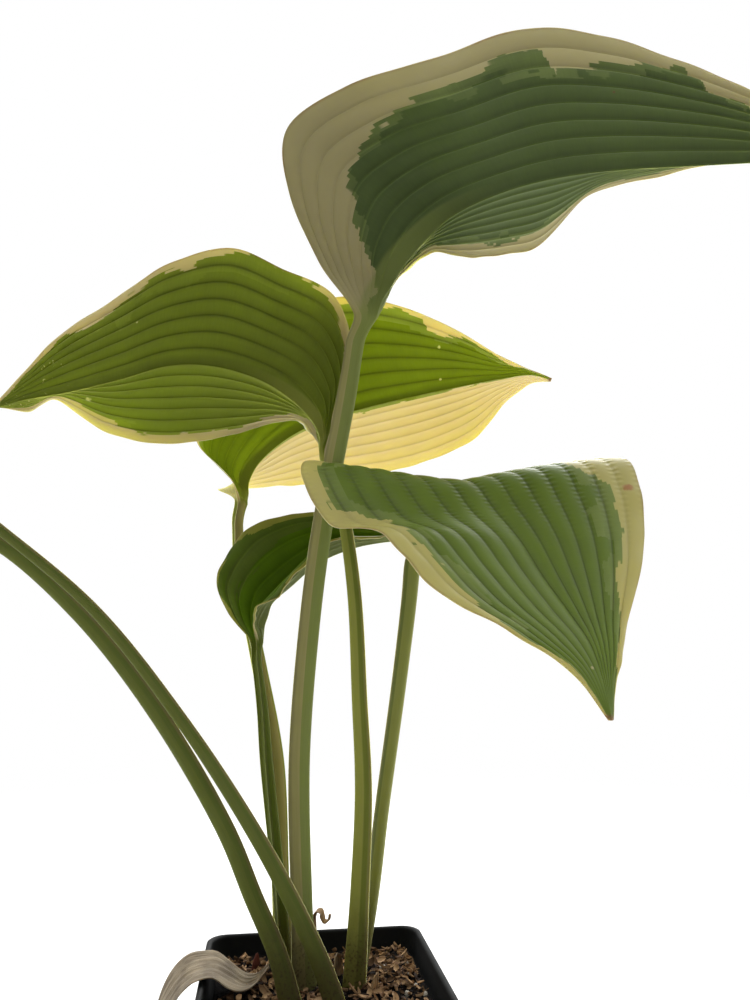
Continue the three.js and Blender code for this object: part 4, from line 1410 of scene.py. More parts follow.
            ((-58, 51, 279), (-31, 42, 260), (-34, 20, 264)),
            ((-54, 52, 293), (-28, 42, 268), (-26, 17, 269)),
            ((-43, 53, 309), (-17, 43, 278), (-17, 18, 279)),
            ((-20, 53, 319), (-2, 43, 291), (-3, 19, 295)),
            ((2, 53, 320), (16, 42, 299), (14, 23, 302)),
            ((26, 52, 314), (34, 42, 303), (32, 28, 303)),
            ((45, 46, 310), (49, 41, 304), (48, 35, 305)),
            ((60, 43, 305), (61, 42, 304), (60, 41, 305)),
        ),
        border=Border(
            left=(
                (0, 0.8), (0.14, 0.83), (0.18, 0.96), (0.25, 0.92), (0.35, 1), (0.4, 0.96),
                (0.48, 0.83), (0.51, 0.88), (0.59, 0.88), (1, 0.8),
            ),
            right=((0, 0.9), (0.25, 0.96), (0.37, 1), (0.48, 0.92), (1, 0.85)),
            sage_left=((0, 0.6), (0.15, 0.55), (0.4, 0.5), (0.6, 0.62), (1, 0.6)),
            sage_right=((0, 0.8), (0.3, 0.86), (0.5, 0.8), (1, 0.7)),
        ),
        finish=LeafFinish(
            "leaf_small_skin", 4, 5,
            green=display(78, 104, 8),
            green_under=display(94, 102, 58),
            sage=display(84, 94, 36),
            cream=display(134, 134, 56),
            stalk=display(80, 89, 22),
            stalk_rim=display(92, 98, 52),
            vein_gain=(0.2, 0.2),
            sheen=0.05,
        ),
    ),
    Leaf(
        name="leaf_side_1",
        side=(-0.5, 1, 0),
        half_widths=(4.3, 2.6, 1.8),
        stalk=(
            (6, -14, FOOT), (-2, -13, 105), (-17, -15, 135), (-36, -22, 168), (-65, -35, 212),
            (-100, -52, 257), (-135, -69, 288), (-172, -86, 317),
        ),
        blade=(
            ((-178, -93, 322), (-180, -89, 321), (-182, -85, 322)),
            ((-173, -115, 334), (-190, -94, 327), (-179, -68, 334)),
            ((-184, -142, 345), (-203, -99, 332), (-184, -46, 345)),
            ((-206, -162, 346), (-220, -106, 335), (-204, -38, 346)),
            ((-236, -172, 342), (-245, -116, 334), (-232, -42, 344)),
            ((-268, -174, 332), (-272, -127, 326), (-264, -60, 336)),
            ((-302, -172, 313), (-300, -132, 310), (-294, -94, 317)),
            ((-329, -165, 289), (-326, -144, 287), (-321, -125, 291)),
            ((-345, -155, 264), (-344, -154, 263), (-344, -153, 264)),
        ),
        border=Border(
            left=(
                (0, 0.6), (0.15, 0.7), (0.3, 0.82), (0.42, 0.74), (0.5, 0.84), (0.66, 0.78),
                (0.8, 0.86), (1, 0.7),
            ),
            right=(
                (0, 0.55), (0.2, 0.72), (0.34, 0.8), (0.46, 0.86), (0.52, 0.72), (0.7, 0.8),
                (0.84, 0.74), (1, 0.66),
            ),
            sage_left=((0, 0.5), (0.3, 0.74), (0.42, 0.62), (0.6, 0.74), (0.8, 0.7), (1, 0.6)),
            sage_right=((0, 0.5), (0.3, 0.7), (0.5, 0.66), (0.7, 0.7), (1, 0.6)),
        ),
        finish=LeafFinish(
            "leaf_side_1_skin", 5, 6,
            stalk=display(95, 103, 38),
            stalk_rim=display(120, 110, 66),
            green=display(92, 117, 29),
            sheen=0.2,
        ),
    ),
    Leaf(
        name="leaf_side_2",
        side=(-0.5, 1, 0),
        half_widths=(4.5, 4.2, 3.3),
        stalk=(
            (-14, -10, FOOT), (-21, -8, 108), (-33, -6, 133), (-46, -9, 162), (-78, -20, 215),
            (-111, -33, 257), (-144, -45, 286), (-172, -48, 296),
        ),
        blade=(
            ((-180, -51, 300), (-180, -46, 299), (-181, -42, 300)),
            ((-180, -69, 309), (-190, -44, 303), (-182, -15, 309)),
            ((-190, -86, 314), (-203, -40, 306), (-190, 12, 312)),
            ((-210, -94, 316), (-222, -35, 308), (-210, 32, 314)),
            ((-238, -90, 312), (-245, -28, 305), (-238, 38, 310)),
            ((-266, -76, 300), (-268, -21, 296), (-264, 32, 298)),
            ((-292, -54, 280), (-290, -14, 279), (-290, 20, 280)),
            ((-312, -28, 257), (-311, -8, 255), (-311, 10, 257)),
            ((-324, -4, 230), (-325, -3, 229), (-324, -2, 230)),
        ),
        border=Border(
            left=(
                (0, 0.58), (0.16, 0.76), (0.28, 0.84), (0.4, 0.86), (0.48, 0.72), (0.6, 0.8),
                (0.76, 0.88), (0.88, 0.7), (1, 0.7),
            ),
            right=(
                (0, 0.62), (0.18, 0.7), (0.32, 0.84), (0.5, 0.78), (0.58, 0.86), (0.74, 0.76),
                (1, 0.72),
            ),
            sage_left=((0, 0.5), (0.3, 0.74), (0.46, 0.64), (0.7, 0.76), (1, 0.6)),
            sage_right=((0, 0.52), (0.3, 0.74), (0.5, 0.66), (0.7, 0.72), (1, 0.6)),
        ),
        finish=LeafFinish(
            "leaf_side_2_skin", 5, 7,
            stalk=display(98, 106, 38),
            stalk_rim=display(112, 104, 60),
            green=display(92, 117, 29),
            sheen=0.2,
        ),
    ),
)


# ------------------------------------------------------------------ dead scraps


@dataclass
class Scrap:
    """A thin dry scrap that is swept through its cross bars, wrinkled and ragged."""

    name: str
    bars: Sequence[Sequence[Point]]
    finish: PaperFinish
    columns: int = 29
    rows_per_bar: int = 10
    thickness: float = 0.5
    wrinkle: float = 0.45
    ragged: float = 0.07
    folds: float = 4.5
    seed: float = 3

    def build(self) -> None:
        """Make the scrap and dress it."""
        bars = np.array(self.bars, dtype=float)
        curves = [bars[:, 0], bars[:, 1], bars[:, 2]]
        knots = knots_of(curves)
        places = np.linspace(0, knots[-1], self.rows_per_bar * (len(bars) - 1) + 1)
        left, rib, right = (along_curve(curve, knots, places) for curve in curves)
        pace = np.gradient(rib, axis=0)
        normal = unit(np.cross(unit(right - left), unit(pace)))[:, None]
        share = places / knots[-1]
        column = np.linspace(-1, 1, self.columns)[None, :] * np.ones((len(places), 1))
        edge = np.array([[noise.noise(Vector((9 * s, side, self.seed))) for side in (0, 5)]
                         for s in share])
        column *= 1 - self.ragged * (0.5 + np.where(column < 0, edge[:, :1], edge[:, 1:]))
        margin = np.where(column[..., None] < 0, left[:, None], right[:, None])
        middle = rib[:, None] + (margin - rib[:, None]) * np.abs(column)[..., None]
        height = np.array([[self.wrinkles(c, s) for c in row] for s, row in zip(share, column)])
        middle = middle + normal * (self.wrinkle * height)[..., None]
        half = normal * (self.thickness / 2)
        points = np.vstack([middle + half, middle - half]).reshape(-1, 3)
        piece = make_piece(f"{self.name}_dry", points, sheet_faces(*column.shape))
        place = place_rows(column, np.cumsum(np.linalg.norm(pace, axis=1)), share)
        store(piece, "place", np.vstack([place, place]))
        dress(piece, self.finish, "dry_leaf", self.name)

    def wrinkles(self, across: float, along: float) -> float:
        """The height of the wrinkles at a share across and a share along."""
        crumple = noise.noise(Vector((self.folds * across, 5 * along, self.seed)))
        return crumple + 0.4 * math.sin(self.folds * 4 * across + 3 * along)


def swept_tube(points: np.ndarray, sides: int, sizes: np.ndarray, reference: Point,
               cup: float = 0, ridges: float = 0) -> np.ndarray:
    """Rings of a tube of oval section.

    Args:
        points: The centre line.
        sides: Points in each ring.
        sizes: The two half widths of each ring.
        reference: The direction that the first half width is square to.
        cup: How far the wide sides bend up, as a share of the first half width.
        ridges: The height of ridges along the tube, as a share of its size.

    Returns:
        The points, ring by ring.
    """
    along = unit(np.gradient(points, axis=0))
    first = unit(np.cross(np.array(reference, dtype=float), along))
    second = np.cross(along, first)
    angle = (2 * math.pi * np.arange(sides) / sides)[None, :]
    swell = 1 + ridges * np.cos(5 * angle)
    wide = sizes[:, :1] * np.cos(angle) * swell
    deep = sizes[:, 1:] * np.sin(angle) * swell + cup * sizes[:, :1] * np.cos(angle) ** 2
    rings = points[:, None] + first[:, None] * wide[..., None] + second[:, None] * deep[..., None]
    return rings.reshape(-1, 3)


SCRAPS = (
    Scrap(
        name="withered_leaf",
        bars=(
            ((-24, 11, 99), (-24, 10, 98), (-24, 8, 98)),
            ((-29, 11, 95), (-29, 7, 94), (-29, 2, 94.5)),
            ((-35, 13, 95), (-35, 4, 93.4), (-35, -5, 94)),
            ((-42, 19, 98), (-42, 8, 95.8), (-42, -6, 95.6)),
            ((-48, 25, 100), (-49, 10, 98.4), (-49, -5, 99.6)),
            ((-54, 26, 100.4), (-56, 8, 98.5), (-56, -9, 100)),
            ((-62, 27, 99.5), (-62, 9, 95), (-61, -8, 96.5)),
            ((-70, 27, 92), (-68, 10, 87), (-66, -4, 89)),
            ((-75, 24, 80), (-73, 11, 77), (-70, 0, 78)),
            ((-77, 14, 63), (-76, 12, 62), (-75, 10, 63)),
        ),
        finish=PaperFinish("withered_leaf_skin", display(96, 82, 62), display(146, 132, 108), 44),
    ),
    Scrap(
        name="sheath_left",
        bars=(
            ((12, 15, FOOT), (8, 13, FOOT), (6, 9, FOOT)),
            ((11, 15, 90), (8, 13, 90), (6, 8, 90)),
            ((11, 15, 95), (8, 13, 96), (6, 9, 95)),
            ((10, 14, 100), (8, 13, 101), (7, 11, 100)),
        ),
        finish=PaperFinish("sheath_left_skin", display(84, 66, 44), display(152, 128, 94)),
    ),
    Scrap(
        name="sheath_right",
        bars=(
            ((20, -7, FOOT), (22.5, -3, FOOT), (23, 1, FOOT)),
            ((20, -8, 89), (24, -4, 89), (24, 1, 89)),
            ((21, -8, 93), (25, -4, 94), (25, 0, 93)),
            ((23, -6, 97), (25, -4, 98), (25, -2, 97)),
        ),
        finish=PaperFinish("sheath_right_skin", display(92, 66, 38), display(176, 144, 96)),
    ),
)


@dataclass
class Bract:
    """The dried flower stem, which ends in a curled bract."""

    path: Sequence[Point] = (
        (-1.5, 20, 84), (-1.5, 20, 96), (-1.8, 20, 106), (-2.4, 20, 111), (-2.7, 20, 114.6),
        (-1.5, 20, 117.1), (0.5, 20.2, 116.9), (1.4, 20.4, 114.7), (2.6, 20.6, 112.7),
        (4.4, 20.8, 113), (5, 21, 115.4),
    )
    half_widths: tuple[float, float] = (0.5, 0.8)
    widening: float = 2.4
    widens: tuple[float, float] = (0.3, 1.05)
    cup: float = 0.35
    rings: int = 90
    sides: int = 18

    def build(self) -> None:
        """Make the bract and dress it."""
        guide = np.array(self.path, dtype=float)
        knots = knots_of([guide])
        places = np.linspace(0, knots[-1], self.rings)
        path = along_curve(guide, knots, places)
        low, high = self.widens
        run = np.clip((places / knots[-1] - low) / (high - low), 0, 1)
        wide = self.half_widths[1] + self.widening * np.sin(math.pi * run)
        thin = np.full_like(wide, self.half_widths[0])
        sizes = np.stack([thin, wide], axis=1)
        points = swept_tube(path, self.sides, sizes, (0.45, 1, 0.01), self.cup)
        piece = make_piece("curled_bract_dry", points, ring_faces(self.rings, self.sides))
        finish = FibreFinish("bract_skin", display(84, 58, 34), display(150, 122, 82),
                             grain=(500, 160, 500), clear=0.4)
        dress(piece, finish, "dry_leaf", "curled_bract")


@dataclass
class Bud:
    """A red-brown bud that stands at the edge of the crown."""

    at: tuple[float, float] = (-31, 28)
    heights: tuple[float, float] = (84, 97.5)
    radius: float = 2.1
    flatness: float = 0.85
    lean: float = 1.5
    scales: float = 3.3
    scale_step: float = 0.09
    rings: int = 44
    sides: int = 30

    def build(self) -> None:
        """Make the bud and dress it."""
        share = np.linspace(0, 1, self.rings)
        low, high = self.heights
        path = np.stack([self.at[0] + share * self.lean, np.full_like(share, self.at[1]),
                         low + (high - low) * share], axis=1)
        scales = 1 - self.scale_step * ((share * self.scales) % 1)
        radius = self.radius * np.sqrt(np.maximum(0.003, 1 - share**3)) * scales
        sizes = np.stack([radius, radius * self.flatness], axis=1)
        points = swept_tube(path, self.sides, sizes, (0, 1, 0.01), ridges=0.05)
        piece = make_piece("bud_scaled", points, ring_faces(self.rings, self.sides))
        finish = FibreFinish("bud_skin", display(58, 30, 26), display(122, 66, 50),
                             grain=(700, 700, 60), clear=0.2)
        dress(piece, finish, "bud", "bud")


# ------------------------------------------------------------------ pot


def rounded_square(half: float, radius: float, z: float, steps: int) -> np.ndarray:
    """Points round a square with rounded corners, counterclockwise.

    Args:
        half: Half of its width.
        radius: The corners' radius.
        z: Its height.
        steps: Steps round each corner.

    Returns:
        The points.
    """
    angles = np.linspace(0, math.pi / 2, steps + 1)
    ring = []
    for corner in range(4):
        start = corner * math.pi / 2
        middle = start + math.pi / 4
        centre = (half - radius) * np.sign([math.cos(middle), math.sin(middle)])
        ring.extend((centre[0] + radius * math.cos(start + angle),
                     centre[1] + radius * math.sin(start + angle), z) for angle in angles)
    return np.array(ring)


@dataclass
class Pot:
    """A square injection-moulded nursery pot with a rim band and a rolled lip."""

    width: float = 110
    height: float = 98
    base_width: float = 78
    shoulder_width: float = 101
    wall: float = 1.4
    floor: float = 2.2
    band_height: float = 13
    band_step: float = 1.6
    lip: float = 3
    corner_radius: float = 9
    corner_taper: float = 0.2
    corner_steps: int = 14
    drain_radius: float = 5
    drain_inset: float = 13
    drain_sides: int = 32
    heel_radius: float = 2
    crease: float = 40  # angle in degrees from which an edge stays sharp

    def inner_half(self, z: float) -> float:
        """Half width of the inner face below the rim band.

        Args:
            z: The height.

        Returns:
            The half width at that height.
        """
        share = min(1.0, z / (self.height - self.band_height))
        rise = (self.shoulder_width - self.base_width) / 2
        return self.base_width / 2 + rise * share - self.wall

    def profile(self) -> list[tuple[float, float]]:
        """Work out the pot's section.

        Returns:
            Half widths and heights, from the underside round the lip to the inner floor.
        """
        base, shoulder, outer = self.base_width / 2, self.shoulder_width / 2, self.width / 2
        band = shoulder + self.band_step
        foot = self.height - self.band_height
        roll = self.lip / 2
        heel = [(base - self.heel_radius + self.heel_radius * math.sin(a),
                 self.heel_radius - self.heel_radius * math.cos(a))
                for a in np.linspace(0, math.pi / 2, 5)]
        step = [(shoulder - 0.15, foot - 0.9), (shoulder + 0.2, foot - 0.1),
                (band - 0.4, foot + 0.5), (band, foot + 1.1)]
        rolled = [(outer - roll + roll * math.cos(a), self.height - roll + roll * math.sin(a))
                  for a in np.linspace(0, math.pi, 13)]
        inside = [(outer - self.lip, self.height - 2.6), (band - self.wall, foot + 2.8),
                  (band - self.wall - 0.5, foot + 1.2), (self.inner_half(foot), foot + 0.4),
                  (self.inner_half(self.floor + 2), self.floor + 2),
                  (self.inner_half(self.floor) - 1.6, self.floor)]
        return [*heel, *step, (outer - 0.9, self.height - 4.2), *rolled, *inside]

    def build(self) -> None:
        """Make the pot and dress it."""
        rings = []
        for half, z in self.profile():
            radius = self.corner_radius - (self.width / 2 - half) * self.corner_taper
            rings.append(rounded_square(half, radius, z, self.corner_steps))
        faces = ring_faces(len(rings), len(rings[0]))
        piece = make_piece("pot_moulded", np.vstack(rings), faces, self.crease)
        drains = self.drains()
        cut = piece.modifiers.new("drains", "BOOLEAN")
        cut.operation, cut.solver, cut.object = "DIFFERENCE", "EXACT", drains
        flatten(piece)
        bpy.data.objects.remove(drains)
        piece.data.set_sharp_from_angle(angle=math.radians(self.crease))
        dress(piece, PlasticFinish(), "pot", "pot")

    def drains(self) -> bpy.types.Object:
        """Make the plugs that cut the four drain holes.

        Returns:
            One object that holds all four.
        """
        sides = self.drain_sides
        angles = 2 * math.pi * np.arange(sides) / sides
        inset = self.base_width / 2 - self.drain_inset
        points, faces = [], []
        for x in (-inset, inset):
            for y in (-inset, inset):
                base = len(points)
                points.extend((x + self.drain_radius * math.cos(a),
                               y + self.drain_radius * math.sin(a), z)
                              for z in (-1, 2 * self.floor) for a in angles)
                faces.extend([base + i for i in face] for face in ring_faces(2, sides))
        return make_piece("drain_plugs", np.array(points), faces)


# ------------------------------------------------------------------ potting mix


class Chip(Enum):
    """The kinds of bit that lie on the mix."""

    HUSK = "husks"
    SPLINTER = "splinters"
    CRUMB = "crumbs"
    PERLITE = "perlite"


def husk_shape() -> tuple[np.ndarray, np.ndarray]:
    """Make a boat-shaped husk of unit length.

    Returns:
        Its points and its faces.
    """
    half_width, tip, thickness, cup, arch = 0.2, 0.015, 0.055, 0.13, 0.3
    rows, columns = np.linspace(-0.5, 0.5, 5), (1, 0.4, -0.4, -1)
    points = []
    for lift in (0.0, -thickness):
        for x in rows:
            wide = half_width * math.cos(math.pi * x) ** 0.6 + tip
            points.extend((x, wide * v, cup * v * v + arch * x * x + lift) for v in columns)
    return np.array(points), sheet_faces(len(rows), len(columns))


def splinter_shape() -> tuple[np.ndarray, list[list[int]]]:
    """Make a flat splinter of bark of unit length.

    Returns:
        Its points and its faces.
    """
    half_width, half_depth, sides = 0.17, 0.075, 6
    sections = ((-0.5, 0.35), (-0.2, 1.0), (0.22, 0.8), (0.5, 0.25))  # place and size of each
    points = []
    for x, size in sections:
        for k in range(sides):
            angle = 2 * math.pi * k / sides + x
            points.append((x, half_width * size * math.cos(angle),
                           half_depth * size * math.sin(angle)))
    return np.array(points), ring_faces(len(sections), sides)


def lump_shape(roughness: float) -> tuple[np.ndarray, list[list[int]]]:
    """Make a crumb of unit size.

    Args:
        roughness: How far noise moves its points, as a share of their distance out.

    Returns:
        Its points and its faces.
    """
    ball = bmesh.new()
    bmesh.ops.create_icosphere(ball, subdivisions=2, radius=0.5)
    points = np.array([point.co * (1 + roughness * noise.noise(point.co * 4)) for point in ball.verts])
    faces = [[point.index for point in face.verts] for face in ball.faces]
    ball.free()
    return points, faces


@dataclass(frozen=True)
class Litter:
    """One kind of bit, scattered over the mix."""

    chip: Chip
    slot: str
    density: float  # bits on a square metre
    size: tuple[float, float]  # smallest and largest, in mm
    tilt: float  # the most that one leans, in radians
    rise: tuple[float, float]  # lowest and highest over the surface, in mm
    finish: FibreFinish
    seed: int
    flatness: float = 1.0

    def shape(self) -> tuple[np.ndarray, Any]:
        """Make one bit of unit size.

        Returns:
            Its points and its faces.
        """
        if self.chip is Chip.HUSK:
            return husk_shape()
        if self.chip is Chip.SPLINTER:
            return splinter_shape()
        return lump_shape(0.7 if self.chip is Chip.PERLITE else 1.1)


class ScatterTree:
    """A tree that scatters a bit over a surface, with each bit's own size, turn and tone.

    The bits lie in clumps, and everywhere on the right side of the pot.
    """

    CLUMP_SCALE = 70
    CLUMP_RAMP = (-0.12, 0.04)  # noise at which a clump starts and is dense
    RIGHT_SIDE = (0.0, 0.03)  # in metres
    INPUTS = {
        "Geometry": "NodeSocketGeometry", "Bit": "NodeSocketObject",
        "Keep Clear": "NodeSocketObject", "Clearance": "NodeSocketFloat",
        "Density": "NodeSocketFloat", "Seed": "NodeSocketInt",
        "Smallest": "NodeSocketVector", "Largest": "NodeSocketVector",
        "Tilt": "NodeSocketFloat", "Lowest": "NodeSocketFloat", "Highest": "NodeSocketFloat",
        "Material": "NodeSocketMaterial",
    }

    def __init__(self) -> None:
        """Build the tree once, for every kind of bit."""
        self.tree = bpy.data.node_groups.new("scatter", "GeometryNodeTree")
        interface = self.tree.interface
        sockets = {name: interface.new_socket(name=name, in_out="INPUT", socket_type=kind)
                   for name, kind in self.INPUTS.items()}
        self.identifiers = {name: socket.identifier for name, socket in sockets.items()}
        interface.new_socket(name="Geometry", in_out="OUTPUT", socket_type="NodeSocketGeometry")
        self.nodes = Nodes(self.tree)
        self.wire()

    def given(self, name: str) -> Shade:
        """One of the tree's inputs."""
        return self.nodes.add("NodeGroupInput", {}, {}, name)

    def random(self, low: Any, high: Any, shift: int, vector: bool = False) -> Shade:
        """A random number or vector for each bit.

        Args:
            low: The lowest value.
            high: The highest value.
            shift: What is added to the seed.
            vector: Whether it is a vector.

        Returns:
            The value.
        """
        kind, first = ("FLOAT_VECTOR", 0) if vector else ("FLOAT", 2)
        inputs = {first: low, first + 1: high, "Seed": self.given("Seed") + shift}
        return self.nodes.add("FunctionNodeRandomValue", {"data_type": kind}, inputs, first // 2)

    def wire(self) -> None:
        """Wire the tree."""
        add = self.nodes.add
        place = add("GeometryNodeInputPosition", {}, {})
        clumps = self.nodes.noise(place, self.CLUMP_SCALE, 2).ramp(*self.CLUMP_RAMP)
        clumps = clumps.math("MAXIMUM", place.split()[0].ramp(*self.RIGHT_SIDE))
        spread = add("GeometryNodeDistributePointsOnFaces", {"distribute_method": "RANDOM"}, {
            "Mesh": self.given("Geometry"), "Density": self.given("Density") * clumps,
            "Seed": self.given("Seed")}, "Points")
        barred = add("GeometryNodeObjectInfo", {}, {"Object": self.given("Keep Clear")}, "Geometry")
        gap = add("GeometryNodeProximity", {"target_element": "POINTS"}, {0: barred}, "Distance")
        near = gap.math("LESS_THAN", self.given("Clearance"))
        spread = add("GeometryNodeDeleteGeometry", {"domain": "POINT"},
                     {"Geometry": spread, "Selection": near})
        height = self.random(self.given("Lowest"), self.given("Highest"), 1)
        spread = add("GeometryNodeSetPosition", {}, {
            "Geometry": spread, "Offset": self.nodes.vector(0.0, 0.0, height)})
        tilt = self.given("Tilt")
        turn = self.random(self.nodes.vector(tilt * -1, tilt * -1, 0.0),
                           self.nodes.vector(tilt, tilt, 2 * math.pi), 2, True)
        size = self.random(self.given("Smallest"), self.given("Largest"), 3, True)
        bit = add("GeometryNodeObjectInfo", {}, {"Object": self.given("Bit")}, "Geometry")
        bits = add("GeometryNodeInstanceOnPoints", {}, {
            "Points": spread, "Instance": bit, "Rotation": turn, "Scale": size})
        bits = add("GeometryNodeStoreNamedAttribute", {"data_type": "FLOAT", "domain": "INSTANCE"}, {
            "Geometry": bits, "Name": "tone", "Value": self.random(0.0, 1.0, 4)})
        bits = add("GeometryNodeRealizeInstances", {}, {"Geometry": bits})
        bits = add("GeometryNodeSetMaterial", {}, {
            "Geometry": bits, "Material": self.given("Material")})
        self.nodes.node("NodeGroupOutput", {}, {"Geometry": bits})

    def apply(self, piece: bpy.types.Object, values: dict[str, Any]) -> None:
        """Scatter over a piece, which becomes the bits alone.

        Args:
            piece: The surface.
            values: The tree's inputs by name.
        """
        modifier = piece.modifiers.new("scatter", "NODES")
        modifier.node_group = self.tree
        for name, value in values.items():
            modifier[self.identifiers[name]] = value
        flatten(piece)
        piece.data.shade_smooth()
        piece.data.set_sharp_from_angle(angle=math.radians(60))


@dataclass
class PottingMix:
    """The black mix in the pot, with husks, bark, crumbs and perlite lying on it."""

    pot: Pot
    level: float = 89
    mound: float = 2.2
    mound_radius: float = 30
    centre: tuple[float, float] = (4, 8)
    clod: float = 0.77
    clod_waves: tuple[float, float] = (0.55, 0.5)  # along x and y
    clod_skew: float = 0.21
    clod_warp: tuple[float, float] = (2, 0.31)  # how far and how often
    crumb: float = 0.33
    crumb_waves: tuple[float, float] = (1.3, 1.1)
    crumb_phases: tuple[float, float] = (1.7, 0.4)
    cells: int = 60
    voxel: float = 1.1
    rough: float = 0.8
    rough_depth: float = 3
    smooth_edge: float = 1.5
    bare_edge: float = 1.1
    clearance: float = 6.4  # from each stem
    stems: Sequence[tuple[float, float]] = ()

    def height(self, x: float, y: float) -> float:
        """Height of the surface, a low mound with clods and crumbs.

        Args:
            x: The place along x.
            y: The place along y.

        Returns:
            The height.
        """
        distance = math.hypot(x - self.centre[0], y - self.centre[1])
        mound = self.mound * math.exp(-((distance / self.mound_radius) ** 2))
        warp = self.clod_warp[0] * math.sin(y * self.clod_warp[1])
        clod = (math.sin(x * self.clod_waves[0] + warp)
                * math.sin(y * self.clod_waves[1] + x * self.clod_skew))
        crumb = (math.sin(x * self.crumb_waves[0] + self.crumb_phases[0])
                 * math.sin(y * self.crumb_waves[1] + self.crumb_phases[1]))
        return self.level + mound + self.clod * clod + self.crumb * crumb

    def build(self) -> None:
        """Make the mix and everything that lies on it."""
        self.earth()
        scatter = ScatterTree()
        barred = make_piece("stem_places", np.array([(x, y, self.height(x, y))
                                                     for x, y in self.stems]), [])
        for litter in LITTER:
            self.scatter(scatter, litter, barred)
        bpy.data.objects.remove(barred)

    def earth(self) -> None:
        """Remesh the mix's solid finely and roughen its top, clear of the pot's walls."""
        piece = remesh_node("mix_earth", "soil", self.voxel)
        edge = self.pot.inner_half(self.level) - self.smooth_edge
        for point in piece.data.vertices:
            x, y, z = point.co / MM
            if z > self.level - self.rough_depth and max(abs(x), abs(y)) < edge:
                rough = noise.fractal(Vector((x, y, 0)) * 0.42, 0.8, 2.1, 4)
                point.co.z += self.rough * MM * rough
        dress(piece, EarthFinish(), "potting_mix", "soil")

    def scatter(self, tree: ScatterTree, litter: Litter, barred: bpy.types.Object) -> None:
        """Scatter one kind of bit over the mix.

        Args:
            tree: The scattering tree.
            litter: The kind of bit.
            barred: Points that bits keep clear of.
        """
        reach = self.pot.inner_half(self.level) - self.bare_edge - litter.size[1] * 0.3
        line = np.linspace(-reach, reach, self.cells)
        grid = np.array([(x, y, self.height(x, y)) for y in line for x in line])
        index = np.arange(self.cells**2).reshape(self.cells, self.cells)
        faces = np.stack([index[:-1, :-1], index[:-1, 1:], index[1:, 1:], index[1:, :-1]], axis=-1)
        piece = make_piece(f"mix_{litter.chip.value}", grid, faces.reshape(-1, 4))
        points, bit_faces = litter.shape()
        bit = make_piece("bit", points / MM, bit_faces)
        small, large = (size * MM for size in litter.size)
        flat = litter.flatness
        tree.apply(piece, {
            "Bit": bit, "Keep Clear": barred, "Clearance": self.clearance * MM,
            "Density": litter.density, "Seed": litter.seed,
            "Smallest": (small, small * 0.8, small * flat * 0.8),
            "Largest": (large, large * 1.1, large * flat),
            "Tilt": litter.tilt, "Lowest": litter.rise[0] * MM, "Highest": litter.rise[1] * MM,
            "Material": litter.finish.material(),
        })
        bpy.data.objects.remove(bit)
        hand_over(piece, litter.slot)


LITTER = (
    Litter(Chip.CRUMB, "potting_mix", 90000, (1.0, 2.6), 1.0, (-0.2, 0.5),
           FibreFinish("black_crumbs", display(12, 9, 8), display(46, 32, 24), True), 5, 0.8),
    Litter(Chip.SPLINTER, "potting_mix", 60000, (2.8, 7.0), 0.5, (0.0, 1.4),
           FibreFinish("bark_splinters", display(34, 22, 15), display(124, 92, 64), True), 8),
    Litter(Chip.HUSK, "potting_mix", 105000, (2.6, 6.2), 0.8, (0.3, 2.2),
           FibreFinish("pale_husks", display(62, 42, 27), display(186, 152, 114), True), 12),
    Litter(Chip.PERLITE, "potting_mix", 2200, (1.6, 3.4), 1.0, (0.8, 1.8),
           FibreFinish("perlite", display(150, 142, 128), display(186, 180, 168), True), 21, 0.8),
)


@dataclass
class Crown:
    """The crown under the mix, whose old leaf scar shows."""

    voxel: float = 0.9
    rough: float = 0.35
    grain: Point = (1.4, 1.4, 0.3)  # how fine its ridges are each way

    def build(self) -> None:
        """Make the crown and dress it."""
        piece = remesh_node("crown_fibrous", "crown", self.voxel)
        for point in piece.data.vertices:
            place = Vector([value * fine for value, fine in zip(point.co / MM, self.grain)])
            ridge = noise.noise(place)
            point.co += point.normal * (self.rough * MM * (ridge - 0.5))
        finish = FibreFinish("crown_bark", display(70, 40, 32), display(150, 108, 88),
                             grain=(500, 500, 90), relief=0.6)
        dress(piece, finish, "crown", "crown")


# ------------------------------------------------------------------ studio


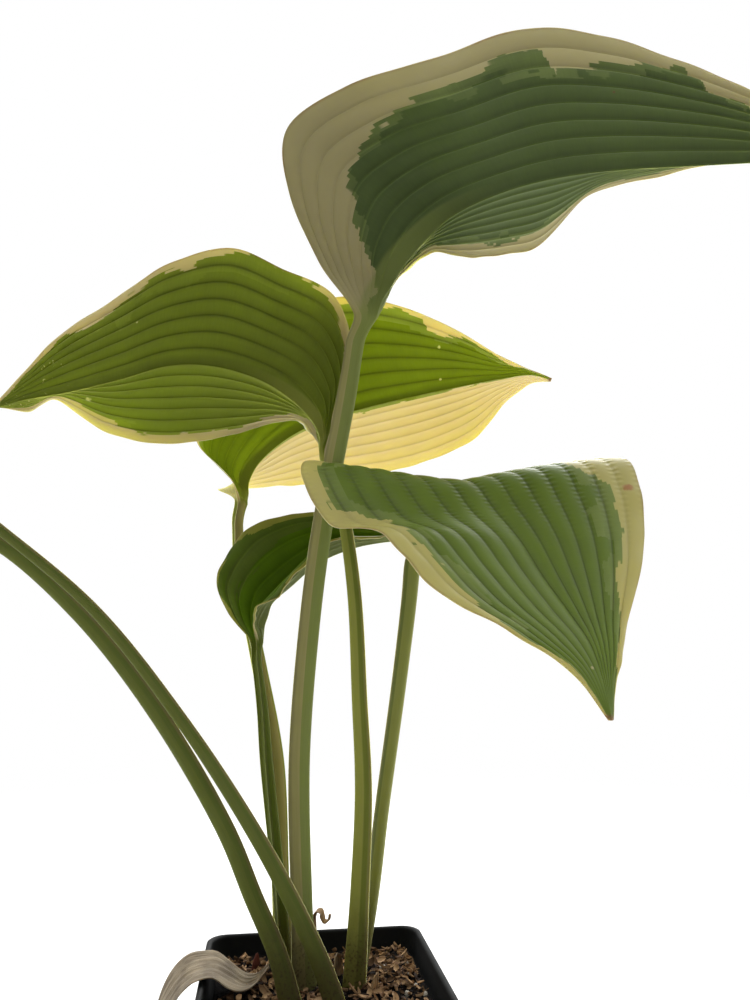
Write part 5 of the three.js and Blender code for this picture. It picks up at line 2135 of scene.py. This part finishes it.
@dataclass
class Studio:
    """A plain pale floor, soft light all round that is brighter behind, and the camera."""

    eye: Point = (-29.5, -377.6, 239.6)
    yaw: float = 8.1
    pitch: float = 11.6
    lens: float = 27.04
    sensor: float = 36
    floor_radius: float = 1400
    floor_sides: int = 96
    backdrop: Colour = (1, 1, 1, 1)
    front_light: float = 0.45
    back_light: float = 1.7
    back_lean: tuple[float, float] = (0.8, 0.55)  # how far that light leans back and up
    light_ramp: tuple[float, float] = (-0.5, 0.9)
    window_power: float = 16
    window_size: float = 0.9
    window: Point = (0.35, 0.95, 1.15)
    aim: Point = (0.0, 0.0, 0.3)

    def build(self) -> None:
        """Set up the camera, the floor and the light."""
        self.camera()
        self.floor()
        self.world()
        self.window_light()

    def camera(self) -> None:
        """Place the camera."""
        data = bpy.data.cameras.new("camera")
        data.lens, data.sensor_width = self.lens, self.sensor
        data.clip_start, data.clip_end = 0.01, 20
        camera = bpy.data.objects.new("camera", data)
        camera.location = Vector(self.eye) * MM
        camera.rotation_euler = (math.radians(90 + self.pitch), 0, math.radians(-self.yaw))
        bpy.context.scene.collection.objects.link(camera)
        bpy.context.scene.camera = camera

    def floor(self) -> None:
        """Make the floor."""
        sides = self.floor_sides
        angles = 2 * math.pi * np.arange(sides) / sides
        rim = np.stack([np.cos(angles), np.sin(angles), 0 * angles], axis=1) * self.floor_radius
        floor = make_piece("floor", rim, [list(range(sides))])
        floor.data.materials.append(FloorFinish().material())

    def world(self) -> None:
        """Light the scene from all round, more from behind and above than from the front."""
        world = bpy.data.worlds.new("studio")
        world.use_nodes = True
        world.node_tree.nodes.clear()
        bpy.context.scene.world = world
        nodes = Nodes(world.node_tree)
        direction = nodes.add("ShaderNodeTexCoord", {}, {}, "Generated").split()
        lean = direction[1] * self.back_lean[0] + direction[2] * self.back_lean[1]
        behind = lean.ramp(*self.light_ramp)
        strength = self.front_light + behind * (self.back_light - self.front_light)
        light = nodes.add("ShaderNodeBackground", {}, {"Color": (1, 1, 1, 1), "Strength": strength})
        seen = nodes.add("ShaderNodeBackground", {}, {"Color": self.backdrop, "Strength": 1.0})
        camera = nodes.add("ShaderNodeLightPath", {}, {}, "Is Camera Ray")
        both = nodes.add("ShaderNodeMixShader", {}, {0: camera, 1: light, 2: seen})
        nodes.node("ShaderNodeOutputWorld", {}, {"Surface": both})

    def window_light(self) -> None:
        """Hang a large soft light behind the plant."""
        data = bpy.data.lights.new("window", "AREA")
        data.energy, data.size = self.window_power, self.window_size
        lamp = bpy.data.objects.new("window", data)
        lamp.location = self.window
        ray = Vector(self.aim) - Vector(self.window)
        lamp.rotation_euler = ray.to_track_quat("-Z", "Y").to_euler()
        lamp.visible_camera = False
        bpy.context.scene.collection.objects.link(lamp)


def main() -> None:
    """Build the plant, its pot and the studio, and report each piece."""
    logging.basicConfig(level=logging.INFO, format="%(name)s: %(message)s")
    bpy.context.scene.view_settings.view_transform = "Standard"
    Studio().build()
    pot = Pot()
    pot.build()
    PottingMix(pot, stems=[leaf.stalk[0][:2] for leaf in LEAVES]).build()
    Crown().build()
    for piece in (*LEAVES, *SCRAPS, Bract(), Bud()):
        piece.build()


if __name__ == "__main__":
    main()
